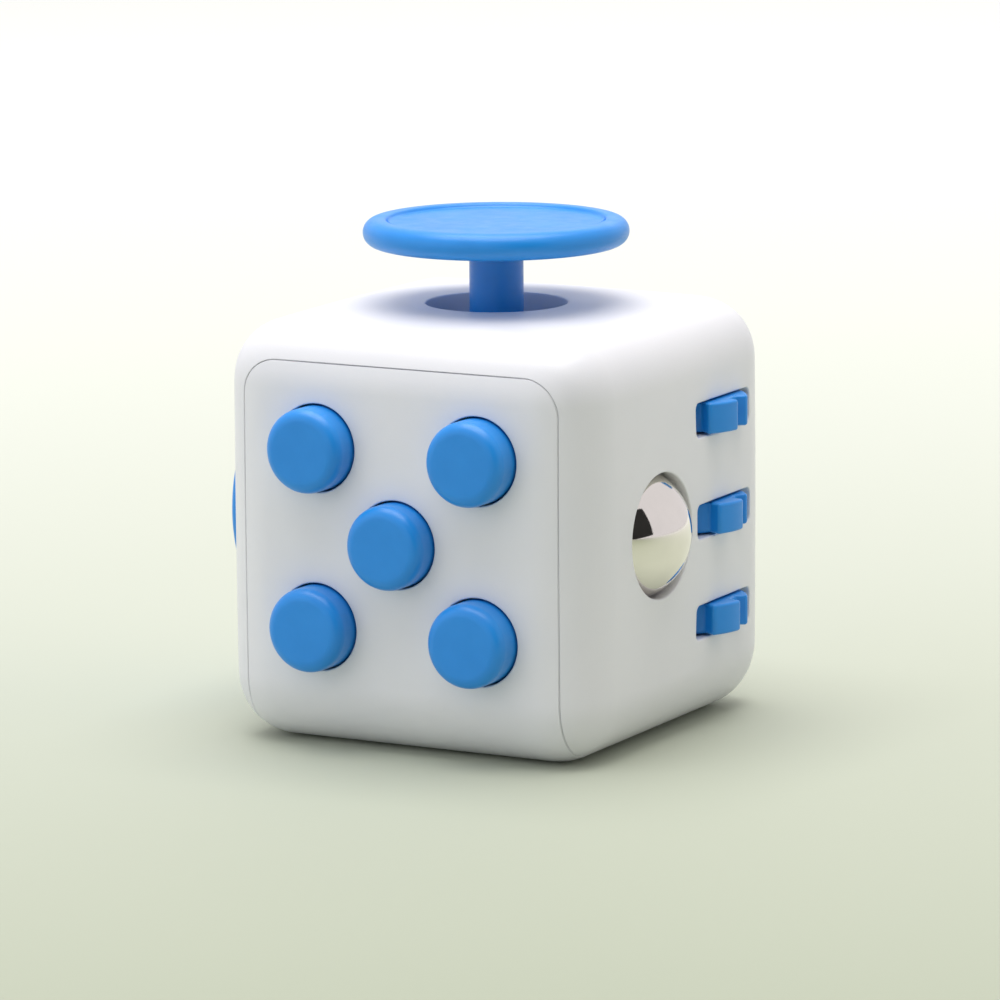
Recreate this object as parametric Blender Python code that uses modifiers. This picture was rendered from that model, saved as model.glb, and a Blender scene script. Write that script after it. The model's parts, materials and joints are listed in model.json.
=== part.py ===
"""Fidget cube: two interlocking U-shaped shells around six modules that the fingers play with.

Units are metres and +Z is up. The origin is on the resting face, below the middle of the cube.
Front (-Y): five push buttons. Right (+X): steel ball and three toothed wheels. Top (+Z): joystick.
Left (-X): spin dial. Back (+Y): flip rocker. Underside (-Z): thumb dish.

Every module is laid out in the frame of its own face: local Z points out of the face, z = 0 is the
outermost plane of the face, and negative z is inside the cube.
"""
import math

import bmesh
import bpy
from mathutils import Matrix, Vector

MM = 0.001

# ---------------------------------------------------------------- body shells
SIDE = 33.0 * MM            # outside size of the cube, all three ways
WALL = 1.8 * MM             # wall thickness of both shells
EDGE_RADIUS = 5.2 * MM      # rounding of every outer edge
CROWN = 0.5 * MM            # how far the faces fall away from their middles to their edges
STRAP_MARGIN_SIDE = 3.0 * MM    # from the cube's side to the strap's side
STRAP_MARGIN_TOP = 3.15 * MM    # from the cube's top to the strap's top
STRAP_CORNER = 2.8 * MM     # rounding of the strap's top corners
SEAM_GAP = 0.2 * MM         # gap between the two shells
REST_GAP = 0.3 * MM         # gap between pieces that rest on each other
MOVE_GAP = 0.15 * MM        # gap round a piece that slides or turns in an opening
PIN_GAP = 0.06 * MM         # running clearance of a pin in its hole

# ---------------------------------------------------------------- thumb dish
DISH_LENGTH = 21.0 * MM
DISH_WIDTH = 16.8 * MM
DISH_DEPTH = 1.6 * MM
DISH_BACKING_SINK = 0.4 * MM

# ---------------------------------------------------------------- buttons
BUTTON_PITCH = 13.8 * MM    # side of the square that the four outer buttons stand on
BUTTON_RADIUS = 3.25 * MM
BUTTON_PROUD = 2.2 * MM
BUTTON_EDGE = 0.9 * MM
BUTTON_TRAVEL = 1.0 * MM
FLANGE_LIP = 0.95 * MM      # how far the flange reaches past the cap
FLANGE_THICK = 0.8 * MM
PLUNGER_RADIUS = 1.0 * MM
PLUNGER_LENGTH = 0.5 * MM
DOME_RADIUS = 2.5 * MM
DOME_HEIGHT = BUTTON_TRAVEL
DOME_THICK = 0.2 * MM
PAD_RADIUS = 1.7 * MM
CARRIER_THICK = 1.5 * MM
CARRIER_RIM = 1.2 * MM      # carrier plate beyond the outer caps
SEAT_GAP = 0.25 * MM        # between a plunger and the dome or pad below it

# ---------------------------------------------------------------- joystick
DISC_RADIUS = 10.3 * MM
DISC_THICK = 2.1 * MM
DISC_HEIGHT = 5.4 * MM      # middle of the disc above the top face
DISC_RECESS = 0.45 * MM
DISC_BEAD = 1.9 * MM        # width of the raised rim
STEM_RADIUS = 2.1 * MM
SPIGOT_RADIUS = 1.2 * MM
SPIGOT_LENGTH = 1.1 * MM
STICK_HOLE_RADIUS = 5.6 * MM
PIVOT_DEPTH = 9.0 * MM      # pivot below the top face
SKIRT_RADIUS = 7.0 * MM
SKIRT_THICK = 0.9 * MM
SKIRT_ANGLE = math.radians(58)
HUB_RADIUS = 2.35 * MM
RING_INNER = 2.7 * MM
RING_OUTER = 3.8 * MM
RING_HEIGHT = 2.2 * MM
TRUNNION_RADIUS = 0.7 * MM
CUP_INNER = 4.2 * MM        # lower cup of the joystick housing
CUP_WALL = 0.8 * MM
CUP_DEPTH = 7.0 * MM        # cup floor below the pivot
SKIRT_GAP = 0.4 * MM        # between the skirt and the housing's wide mouth
SHELF = 1.3 * MM            # floor of the wide mouth above the pivot
STICK_LUG_TOP = 4.8 * MM    # housing's lugs below the top face
STICK_LUG_THICK = 1.0 * MM
FOOT_DEPTH = 3.3 * MM       # underside of the stem's foot below the pivot
FOOT_RADIUS = 2.0 * MM
STICK_SPRING_RADIUS = 1.7 * MM
STICK_SPRING_WIRE = 0.18 * MM
STICK_SPRING_TURNS = 3.5

# ---------------------------------------------------------------- ball
BALL_RADIUS = 5.3 * MM
BALL_HOLE_GAP = 0.03 * MM   # between the ball and its hole's inner edge
BALL_PROUD = 1.8 * MM
BALL_OFFSET = -4.1 * MM     # ball's centre along the right face, towards the front
BALL_TRAVEL = 0.5 * MM
SADDLE_THICK = 0.6 * MM
SADDLE_ANGLE = math.radians(45)
SADDLE_EAR = 0.8 * MM
BALL_BRACKET_WIDTH = 5.0 * MM
BALL_BRACKET_THICK = 0.8 * MM
BALL_LEG_GAP = 0.6 * MM     # between the ball and each leg of its bracket
BALL_FOOT_THICK = 1.0 * MM
CLICK_RADIUS = 2.0 * MM
CLICK_HEIGHT = BALL_TRAVEL + 0.1 * MM

# ---------------------------------------------------------------- toothed wheels
WHEEL_RADIUS = 5.0 * MM
WHEEL_PROUD = 1.3 * MM
WHEEL_THICK = 2.4 * MM
WHEEL_PITCH = 7.9 * MM      # from wheel to wheel along the axle
WHEEL_TEETH = 6
TOOTH_DEPTH = 1.0 * MM
TOOTH_SHARE = 0.6          # share of the pitch that a tooth's tip takes
WHEEL_TURNS = {"toothed_wheel_top": -22, "toothed_wheel_middle": -12, "toothed_wheel_bottom": -18}
AXLE_RADIUS = 0.8 * MM
BALL_WHEEL_GAP = 0.35 * MM
COMB_ARM = 1.0 * MM         # thickness of the comb's end arms
COMB_MID_ARM = 3.2 * MM     # thickness of the arms between the wheels
COMB_TRIM = 1.5 * MM        # the arms stop this far before the wall, and only the screw pads reach it

# ---------------------------------------------------------------- dial
DIAL_RADIUS = 9.5 * MM
DIAL_PROUD = 2.2 * MM
DIAL_EDGE = 0.7 * MM
DIAL_HUB = 2.6 * MM
DIMPLE_RADIUS = 2.6 * MM
DIMPLE_DEPTH = 0.8 * MM
RETAINER_RADIUS = 4.4 * MM
RETAINER_THICK = 0.8 * MM
FRICTION_RADIUS = 4.0 * MM
FRICTION_THICK = 0.5 * MM

# ---------------------------------------------------------------- rocker
ROCKER_RADIUS = 7.0 * MM    # from the pin to the rocker's ends
ROCKER_WIDTH = 7.2 * MM
ROCKER_PIVOT = 2.9 * MM     # pin below the back face
ROCKER_RISE = 0.5 * MM      # middle of the rocker's top above the back face
ROCKER_HOLLOW = 0.5 * MM    # how far the top dips between its ends
ROCKER_TILT = math.radians(11)
ROCKER_BODY = 1.5 * MM      # half height of the rocker's ends below its top
ROCKER_HUB = 1.6 * MM
ROCKER_NOSE = 2.6 * MM      # detent nose below the pin
NOSE_RADIUS = 0.4 * MM
ROCKER_PIN_RADIUS = 0.6 * MM
ROCKER_END_GAP = 0.8 * MM   # between the rocker's ends and its housing
CHEEK_THICK = 1.0 * MM
LEAF_THICK = 0.2 * MM
LEAF_HUMP = 1.0 * MM

# ---------------------------------------------------------------- snap tabs of the strap shell
TAB_THICK = 0.8 * MM
TAB_HEIGHT = 1.45 * MM
TAB_CLEAR = 0.15 * MM       # from a tab's outer corner to the strap's rounded corner
NUB_DEPTH = 0.6 * MM        # how far the nub reaches into the side wall
NUB_LENGTH = 1.2 * MM

# ---------------------------------------------------------------- screws
SCREW_HEAD_RADIUS = 1.15 * MM
SCREW_HEAD_HEIGHT = 0.7 * MM
SCREW_SHANK_RADIUS = 0.55 * MM
PILOT_GAP = 0.08 * MM
BOSS_RADIUS = 1.5 * MM
BLIND_WALL = 0.6 * MM       # wall left in front of a screw's tip

HALF = SIDE / 2
FINE = 24                   # sides of the larger round pieces
ROUND = 16                  # sides of most round pieces
COARSE = 10                 # sides of screws and their holes
OVERCUT = 1.0 * MM          # how far a cutter runs past what it cuts

BLUE = (0.040, 0.240, 0.600, 1.0)
WHITE = (0.86, 0.87, 0.88, 1.0)
STEEL = (0.72, 0.72, 0.72, 1.0)
CHROME = (0.85, 0.85, 0.86, 1.0)
GREY = (0.32, 0.33, 0.35, 1.0)
SILICONE = (0.62, 0.64, 0.66, 1.0)


# ---------------------------------------------------------------- scene helpers
def clear_scene():
    for obj in list(bpy.data.objects):
        bpy.data.objects.remove(obj, do_unlink=True)


def collection(name):
    group = bpy.data.collections.new(name)
    bpy.context.scene.collection.children.link(group)
    return group


def material(name, colour, roughness, metallic=0.0):
    surface = bpy.data.materials.new(name)
    surface.use_nodes = True
    shader = surface.node_tree.nodes["Principled BSDF"]
    shader.inputs["Base Color"].default_value = colour
    shader.inputs["Roughness"].default_value = roughness
    shader.inputs["Metallic"].default_value = metallic
    return surface


def face_frame(name, location, turn):
    """Empty whose local Z points out of one face of the cube."""
    frame = bpy.data.objects.new(name, None)
    frame.location = location
    frame.rotation_euler = [math.radians(angle) for angle in turn]
    GUIDES.objects.link(frame)
    return frame


def place(obj, frame, location=(0, 0, 0), rotation=(0, 0, 0)):
    obj.parent = frame
    obj.location = location
    obj.rotation_euler = rotation
    return obj


def new_object(name, mesh, group):
    obj = bpy.data.objects.new(name, mesh)
    group.objects.link(obj)
    return obj


def finish(obj, surface):
    """Put a part in the object's collection, with its material and smooth round faces."""
    for group in list(obj.users_collection):
        group.objects.unlink(obj)
    PARTS.objects.link(obj)
    obj.data.materials.clear()
    obj.data.materials.append(surface)
    if obj.data.polygons:
        obj.data.shade_smooth()
        obj.data.set_sharp_from_angle(angle=math.radians(35))
    return obj


def as_cutter(obj):
    obj.hide_render = True
    obj.display_type = "WIRE"
    return obj


def boolean(obj, other, operation):
    step = obj.modifiers.new(other.name, "BOOLEAN")
    step.operation = operation
    step.solver = "EXACT"
    step.object = as_cutter(other)
    return obj


def cut(obj, other):
    return boolean(obj, other, "DIFFERENCE")


def join(obj, other):
    return boolean(obj, other, "UNION")


# ---------------------------------------------------------------- shape helpers
def arc(centre, radius, start, stop, steps):
    """Points on an arc from start to stop, in degrees."""
    turns = [math.radians(start + (stop - start) * i / steps) for i in range(steps + 1)]
    return [(centre[0] + radius * math.cos(t), centre[1] + radius * math.sin(t)) for t in turns]


def rounded_rectangle(width, height, radius, steps=4):
    x = width / 2 - radius
    y = height / 2 - radius
    corners = [((x, y), 0), ((-x, y), 90), ((-x, -y), 180), ((x, -y), 270)]
    return [p for centre, start in corners for p in arc(centre, radius, start, start + 90, steps)]


def box(name, size, centre=(0, 0, 0)):
    mesh = bpy.data.meshes.new(name)
    bm = bmesh.new()
    bmesh.ops.create_cube(bm, size=1.0, matrix=Matrix.Translation(centre) @ Matrix.Diagonal((*size, 1)))
    bm.to_mesh(mesh)
    bm.free()
    return new_object(name, mesh, GUIDES)


def rod(name, radius, low, high, steps=ROUND, axis="Z"):
    """Cylinder along one local axis, from low to high on it."""
    turn = {"X": Matrix.Rotation(math.pi / 2, 4, "Y"), "Y": Matrix.Rotation(-math.pi / 2, 4, "X")}
    middle = Matrix.Translation((0, 0, (low + high) / 2))
    mesh = bpy.data.meshes.new(name)
    bm = bmesh.new()
    bmesh.ops.create_cone(bm, cap_ends=True, segments=steps, radius1=radius, radius2=radius,
                          depth=high - low, matrix=turn.get(axis, Matrix.Identity(4)) @ middle)
    bm.to_mesh(mesh)
    bm.free()
    return new_object(name, mesh, GUIDES)


def ball(name, radius, steps=FINE):
    mesh = bpy.data.meshes.new(name)
    bm = bmesh.new()
    bmesh.ops.create_uvsphere(bm, u_segments=steps, v_segments=steps // 2, radius=radius)
    bm.to_mesh(mesh)
    bm.free()
    return new_object(name, mesh, GUIDES)


def turned(name, profile, steps=ROUND, ring=False):
    """Solid turned about local Z from (radius, height) points that run down its outside."""
    edges = [(i, i + 1) for i in range(len(profile) - 1)]
    if ring:
        edges.append((len(profile) - 1, 0))
    mesh = bpy.data.meshes.new(name)
    mesh.from_pydata([(radius, 0, height) for radius, height in profile], edges, [])
    obj = new_object(name, mesh, GUIDES)
    screw = obj.modifiers.new("turn", "SCREW")
    screw.steps = steps
    screw.render_steps = steps
    screw.use_merge_vertices = True
    screw.merge_threshold = 0.000001
    return obj


def plate(name, outline, low, high):
    """Flat outline in local XY, made solid from low to high along local Z."""
    curve = bpy.data.curves.new(name, "CURVE")
    curve.dimensions = "2D"
    curve.fill_mode = "BOTH"
    curve.extrude = (high - low) / 2
    spline = curve.splines.new("POLY")
    spline.points.add(len(outline) - 1)
    for point, (x, y) in zip(spline.points, outline):
        point.co = (x, y, 0, 1)
    spline.use_cyclic_u = True
    return curve_to_mesh(name, curve, (0, 0, (low + high) / 2))


def wire(name, points, radius):
    """Round wire along a list of points, with closed ends."""
    curve = bpy.data.curves.new(name, "CURVE")
    curve.dimensions = "3D"
    curve.bevel_depth = radius
    curve.bevel_resolution = 2
    curve.use_fill_caps = True
    spline = curve.splines.new("POLY")
    spline.points.add(len(points) - 1)
    for point, place_on_wire in zip(spline.points, points):
        point.co = (*place_on_wire, 1)
    return curve_to_mesh(name, curve, (0, 0, 0))


def curve_to_mesh(name, curve, offset):
    guide = new_object(name + "_curve", curve, GUIDES)
    evaluated = guide.evaluated_get(bpy.context.evaluated_depsgraph_get())
    mesh = bpy.data.meshes.new_from_object(evaluated)
    mesh.name = name
    bpy.data.objects.remove(guide, do_unlink=True)
    bm = bmesh.new()
    bm.from_mesh(mesh)
    bmesh.ops.remove_doubles(bm, verts=bm.verts, dist=0.000001)
    bmesh.ops.translate(bm, verts=bm.verts, vec=Vector(offset))
    bmesh.ops.recalc_face_normals(bm, faces=bm.faces)
    bm.to_mesh(mesh)
    bm.free()
    return new_object(name, mesh, GUIDES)


def block(name, half, radius, crown, arc_steps, flat_steps):
    """Rounded block whose sides and top swell by crown; its underside is flat."""
    steps = 2 * arc_steps + flat_steps
    core = half - radius

    def station(fraction):
        index = round((fraction + 1) / 2 * steps)
        inward = min(index, steps - index)
        if inward < arc_steps:
            angle = math.radians(45) * (arc_steps - inward) / arc_steps
            return math.copysign(core + radius * math.tan(angle), fraction)
        return core * (2 * (index - arc_steps) / flat_steps - 1)

    def swell(p, axis):
        others = [p[i] / half for i in range(3) if i != axis]
        fall = 1 - (1 - others[0] ** 2) * (1 - others[1] ** 2)
        return math.copysign(crown * fall * (abs(p[axis]) / half) ** 8, p[axis])

    mesh = bpy.data.meshes.new(name)
    bm = bmesh.new()
    bmesh.ops.create_cube(bm, size=2.0)
    bmesh.ops.subdivide_edges(bm, edges=bm.edges[:], cuts=steps - 1, use_grid_fill=True)
    for vertex in bm.verts:
        p = Vector([station(c) for c in vertex.co])
        nearest = Vector([max(-core, min(core, c)) for c in p])
        p = nearest + (p - nearest).normalized() * radius if p != nearest else p
        fall = Vector([swell(p, axis) for axis in range(3)])
        if p.z < 0:
            fall.z = 0
        vertex.co = p - fall
    bm.to_mesh(mesh)
    bm.free()
    return place(new_object(name, mesh, GUIDES), None, (0, 0, HALF))


def spring_points(radius, low, high, turns, per_turn=10):
    count = round(turns * per_turn)
    points = []
    for i in range(count + 1):
        angle = 2 * math.pi * i / per_turn
        points.append((radius * math.cos(angle), radius * math.sin(angle), low + (high - low) * i / count))
    return points


def dome_profile(radius, height, thick, steps=4):
    """Thin domed disc standing on z = 0, as (radius, height) points down its outside."""
    outer = [(radius * math.sin(a), height * math.cos(a)) for a in
             [math.radians(90) * i / steps for i in range(steps + 1)]]
    inner_radius = radius - thick
    inner_height = height - thick
    inner = [(inner_radius * math.sin(a), inner_height * math.cos(a)) for a in
             [math.radians(90) * (steps - i) / steps for i in range(steps + 1)]]
    outer[0] = (0, height)
    inner[-1] = (0, inner_height)
    return outer + inner


def screw(name, frame, x, y, seat, length):
    """Slotted screw whose head sits on the inner side of seat and whose shank points outwards."""
    profile = [(0, length), (SCREW_SHANK_RADIUS * 0.5, length), (SCREW_SHANK_RADIUS, length - 0.4 * MM),
               (SCREW_SHANK_RADIUS, 0), (SCREW_HEAD_RADIUS, 0),
               (SCREW_HEAD_RADIUS, -SCREW_HEAD_HEIGHT * 0.6),
               (SCREW_HEAD_RADIUS * 0.75, -SCREW_HEAD_HEIGHT), (0, -SCREW_HEAD_HEIGHT)]
    obj = place(turned(name, profile, COARSE), frame, (x, y, seat))
    slot = box(name + "_slot", (0.3 * MM, 3 * SCREW_HEAD_RADIUS, 0.6 * MM), (0, 0, -SCREW_HEAD_HEIGHT))
    cut(obj, place(slot, frame, (x, y, seat)))
    return finish(obj, STEEL_SURFACE)


def pilot_hole(shell, name, frame, x, y, low):
    """Blind hole for a screw, from low up to a thin wall below the face."""
    hole = rod(name, SCREW_SHANK_RADIUS + PILOT_GAP, low - OVERCUT, -BLIND_WALL, COARSE)
    cut(shell, place(hole, frame, (x, y, 0)))


def boss(shell, name, frame, x, y, low):
    """Round post inside the wall, from low up into the wall."""
    post = rod(name, BOSS_RADIUS, low, -WALL * 0.6, 16)
    join(shell, place(post, frame, (x, y, 0)))


# ---------------------------------------------------------------- shells
def strap_outline(grow):
    """The strap seen from the front: straight sides, rounded top corners, open below the cube."""
    x = HALF - STRAP_MARGIN_SIDE + grow
    top = HALF - STRAP_MARGIN_TOP + grow
    radius = STRAP_CORNER + grow
    return (arc((x - radius, top - radius), radius, 0, 90, 6)
            + arc((-x + radius, top - radius), radius, 90, 180, 6)
            + [(-x, -SIDE), (x, -SIDE)])


def strap_volume(name, grow):
    return place(plate(name, strap_outline(grow), -SIDE - OVERCUT, OVERCUT), FRONT)


def hollow_body(name):
    body = block(name, HALF, EDGE_RADIUS, CROWN, 3, 4)
    cavity = block(name + "_cavity", HALF - WALL, max(EDGE_RADIUS - WALL, 1.0 * MM), 0, 2, 1)
    return cut(body, cavity)


def make_side_top_shell():
    shell = hollow_body("side_top_shell")
    cut(shell, strap_volume("strap_space", SEAM_GAP))
    for name, x, y in STICK_SCREWS:
        boss(shell, name + "_boss", TOP, x, y, -STICK_LUG_TOP + REST_GAP)
        pilot_hole(shell, name + "_pilot", TOP, x, y, -STICK_LUG_TOP)
    cut(shell, place(rod("stick_hole", STICK_HOLE_RADIUS, -WALL - OVERCUT, OVERCUT, FINE), TOP))
    cut(shell, place(rod("ball_hole", BALL_HOLE_RADIUS, -WALL - OVERCUT, OVERCUT, FINE), RIGHT,
                     (BALL_OFFSET, 0, 0)))
    for name, height in WHEELS:
        slot = plate(name + "_slot", rounded_rectangle(SLOT_LENGTH, SLOT_HEIGHT, SLOT_HEIGHT * 0.25),
                     -WALL - OVERCUT, OVERCUT)
        cut(shell, place(slot, RIGHT, (WHEEL_OFFSET, height, 0)))
    for name, x, y in BALL_SCREWS + COMB_SCREWS:
        pilot_hole(shell, name + "_pilot", RIGHT, x, y, -WALL)
    dial_hole = rod("dial_hole", DIAL_HUB + MOVE_GAP, -WALL - OVERCUT, OVERCUT)
    cut(shell, place(dial_hole, LEFT))
    for name, side, depth, height in SNAP_TABS:
        pocket_end = HALF - WALL + NUB_DEPTH
        size = (2 * NUB_DEPTH, NUB_LENGTH + 2 * REST_GAP, TAB_HEIGHT + 2 * REST_GAP)
        pocket = box(name + "_pocket", size, (side * (pocket_end - NUB_DEPTH), depth, height))
        cut(shell, pocket)
    return finish(shell, SHELL_SURFACE)


def make_strap_shell():
    shell = hollow_body("front_base_back_shell")
    boolean(shell, strap_volume("strap_limit", 0), "INTERSECT")
    for name, side, depth, height in SNAP_TABS:
        add_snap_tab(shell, name, side, depth, height)
    low = WALL - DISH_BACKING_SINK
    slope = [(0, WALL + DISH_DEPTH),
             (DISH_LENGTH / 2 * 0.75, WALL + DISH_DEPTH * 0.8),
             (DISH_LENGTH / 2, low), (0, low)]
    backing = turned("dish_backing", slope)
    backing.scale = (1, DISH_WIDTH / DISH_LENGTH, 1)
    join(shell, backing)
    sphere = (DISH_DEPTH ** 2 + (DISH_LENGTH / 2) ** 2) / (2 * DISH_DEPTH)
    sweep = math.asin(DISH_LENGTH / 2 / sphere)
    bowl = [(sphere * math.sin(sweep * i / 5), DISH_DEPTH - sphere * (1 - math.cos(sweep * i / 5)))
            for i in range(6)]
    dish = turned("dish_cutter", bowl + [(DISH_LENGTH / 2, -OVERCUT), (0, -OVERCUT)], FINE)
    dish.scale = (1, DISH_WIDTH / DISH_LENGTH, 1)
    cut(shell, dish)
    for name, x, y in BUTTONS:
        hole = rod(name + "_hole", BUTTON_RADIUS + MOVE_GAP, -WALL - OVERCUT, OVERCUT)
        cut(shell, place(hole, FRONT, (x, y, 0)))
    for name, x, y in CARRIER_SCREWS:
        boss(shell, name + "_boss", FRONT, x, y, -CARRIER_FRONT + REST_GAP)
        pilot_hole(shell, name + "_pilot", FRONT, x, y, -CARRIER_FRONT)
    opening = rod("rocker_opening", ROCKER_RADIUS + MOVE_GAP, -ROCKER_WIDTH / 2 - MOVE_GAP,
                  ROCKER_WIDTH / 2 + MOVE_GAP, FINE * 2, "X")
    cut(shell, place(opening, BACK, (0, 0, -ROCKER_PIVOT)))
    for name, x, y in ROCKER_SCREWS:
        pilot_hole(shell, name + "_pilot", BACK, x, y, -WALL)
    return finish(shell, SHELL_SURFACE)


def add_snap_tab(shell, name, side, depth, height):
    """Springy L-shaped tab standing off the strap's wall, whose nub clicks into the side wall."""
    inner = TAB_SIDE - TAB_THICK / 2
    outer = TAB_SIDE + TAB_THICK / 2
    root = HALF - WALL * 0.8
    near = abs(depth) - NUB_LENGTH / 2
    far = abs(depth) + NUB_LENGTH / 2
    nub_end = HALF - WALL + NUB_DEPTH - REST_GAP
    quarter = [(inner, near), (nub_end, near), (nub_end, far), (outer, far), (outer, root), (inner, root)]
    outline = [(side * x, math.copysign(y, depth)) for x, y in quarter]
    join(shell, plate(name, outline, height - TAB_HEIGHT / 2, height + TAB_HEIGHT / 2))


# ---------------------------------------------------------------- buttons
def make_button_cap(name, x, y):
    rim = arc((BUTTON_RADIUS - BUTTON_EDGE, BUTTON_PROUD - BUTTON_EDGE), BUTTON_EDGE, 90, 0, 4)
    flange = BUTTON_RADIUS + FLANGE_LIP
    profile = ([(0, BUTTON_PROUD)] + rim
               + [(BUTTON_RADIUS, -FLANGE_TOP), (flange, -FLANGE_TOP), (flange, -FLANGE_TOP - FLANGE_THICK),
                  (PLUNGER_RADIUS, -FLANGE_TOP - FLANGE_THICK), (PLUNGER_RADIUS, -PLUNGER_END),
                  (0, -PLUNGER_END)])
    return finish(place(turned(name, profile), FRONT, (x, y, 0)), BLUE_SURFACE)


def make_button_return(name, x, y, clicks):
    """Snap dome below a clicking button, or silicone pad below a silent one."""
    if clicks:
        profile = dome_profile(DOME_RADIUS, DOME_HEIGHT, DOME_THICK)
    else:
        profile = [(0, DOME_HEIGHT), (PAD_RADIUS * 0.6, DOME_HEIGHT), (PAD_RADIUS * 0.7, DOME_HEIGHT * 0.5),
                   (PAD_RADIUS, DOME_HEIGHT * 0.3), (PAD_RADIUS, 0), (0, 0)]
    surface = STEEL_SURFACE if clicks else SILICONE_SURFACE
    return finish(place(turned(name, profile), FRONT, (x, y, -SEAT_FLOOR + RETURN_LIFT)), surface)


def make_button_carrier():
    width = BUTTON_PITCH + 2 * (BUTTON_RADIUS + CARRIER_RIM)
    outline = rounded_rectangle(width, width, 2.0 * MM)
    carrier = place(plate("button_carrier", outline, -CARRIER_BACK, -CARRIER_FRONT), FRONT)
    for name, x, y in BUTTONS:
        seat = rod(name + "_seat", DOME_RADIUS + MOVE_GAP, -SEAT_FLOOR, -CARRIER_FRONT + OVERCUT)
        cut(carrier, place(seat, FRONT, (x, y, 0)))
    for name, x, y in CARRIER_SCREWS:
        through = rod(name + "_through", SCREW_SHANK_RADIUS + PILOT_GAP, -CARRIER_BACK - OVERCUT,
                      -CARRIER_FRONT + OVERCUT, COARSE)
        cut(carrier, place(through, FRONT, (x, y, 0)))
        sink = rod(name + "_sink", SCREW_HEAD_RADIUS + MOVE_GAP, -CARRIER_BACK - OVERCUT,
                   -CARRIER_BACK + SCREW_HEAD_HEIGHT + MOVE_GAP, COARSE)
        cut(carrier, place(sink, FRONT, (x, y, 0)))
    return finish(carrier, GREY_SURFACE)


def make_buttons():
    for name, x, y in BUTTONS:
        make_button_cap(name, x, y)
        clicks = name in CLICKING
        make_button_return(name.replace("button", "snap_dome" if clicks else "silent_pad"), x, y, clicks)
    make_button_carrier()
    for name, x, y in CARRIER_SCREWS:
        seat = -CARRIER_BACK + SCREW_HEAD_HEIGHT
        screw(name, FRONT, x, y, seat, -BLIND_WALL - MOVE_GAP - seat)


# ---------------------------------------------------------------- joystick
def make_joystick_disc():
    middle = PIVOT_DEPTH + DISC_HEIGHT
    top = middle + DISC_THICK / 2
    bottom = middle - DISC_THICK / 2
    edge = DISC_THICK / 2
    rim = arc((DISC_RADIUS - edge, middle), edge, 90, -90, 6)
    lip = DISC_RADIUS - DISC_BEAD
    profile = ([(0, top - DISC_RECESS), (lip - 0.6 * MM, top - DISC_RECESS), (lip, top - 0.1 * MM)] + rim
               + [(STEM_RADIUS + 1.2 * MM, bottom), (SPIGOT_RADIUS + MOVE_GAP, bottom),
                  (SPIGOT_RADIUS + MOVE_GAP, bottom + SPIGOT_LENGTH + MOVE_GAP),
                  (0, bottom + SPIGOT_LENGTH + MOVE_GAP)])
    return finish(place(turned("joystick_disc", profile, FINE), STICK_PIVOT), BLUE_SURFACE)


def make_joystick_stem():
    """Stem with its spigot on top, dust skirt, hub with two trunnions along Y, and spring foot."""
    shoulder = PIVOT_DEPTH + DISC_HEIGHT - DISC_THICK / 2 - MOVE_GAP
    joint = math.asin(STEM_RADIUS / SKIRT_RADIUS)
    steps = [joint + (SKIRT_ANGLE - joint) * i / 5 for i in range(6)]
    outer = [(SKIRT_RADIUS * math.sin(a), SKIRT_RADIUS * math.cos(a)) for a in steps]
    inside = SKIRT_RADIUS - SKIRT_THICK
    inner = [(inside * math.sin(a), inside * math.cos(a)) for a in reversed(steps)]
    waist = 1.6 * MM
    inner_start = [p for p in inner if p[0] > waist]
    hub = arc((0, 0), HUB_RADIUS, 90 - math.degrees(math.asin(waist / HUB_RADIUS)), -50, 6)
    profile = ([(0, shoulder + SPIGOT_LENGTH), (SPIGOT_RADIUS, shoulder + SPIGOT_LENGTH),
                (SPIGOT_RADIUS, shoulder), (STEM_RADIUS, shoulder)] + outer + inner_start
               + [(waist, inside * math.cos(joint))] + hub
               + [(FOOT_RADIUS * 0.6, -FOOT_DEPTH + 0.9 * MM), (FOOT_RADIUS, -FOOT_DEPTH + 0.7 * MM),
                  (FOOT_RADIUS, -FOOT_DEPTH), (0, -FOOT_DEPTH)])
    stem = place(turned("joystick_stem", profile, ROUND), STICK_PIVOT)
    reach = RING_OUTER - PIN_GAP
    join(stem, place(rod("stem_trunnions", TRUNNION_RADIUS, -reach, reach, 16, "Y"), STICK_PIVOT))
    return finish(stem, BLUE_SURFACE)


def make_gimbal_ring():
    half = RING_HEIGHT / 2
    profile = [(RING_OUTER, half), (RING_OUTER, -half), (RING_INNER, -half), (RING_INNER, half)]
    ring = place(turned("joystick_gimbal_ring", profile, ROUND, ring=True), STICK_PIVOT)
    for side in (-1, 1):
        ends = sorted((side * (RING_OUTER - 0.4 * MM), side * (CUP_INNER + CUP_WALL)))
        join(ring, place(rod("ring_trunnion", TRUNNION_RADIUS, *ends, 16, "X"), STICK_PIVOT))
    bore = rod("ring_bore", TRUNNION_RADIUS + PIN_GAP, -2 * RING_OUTER, 2 * RING_OUTER, 16, "Y")
    return finish(cut(ring, place(bore, STICK_PIVOT)), GREY_SURFACE)


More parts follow.
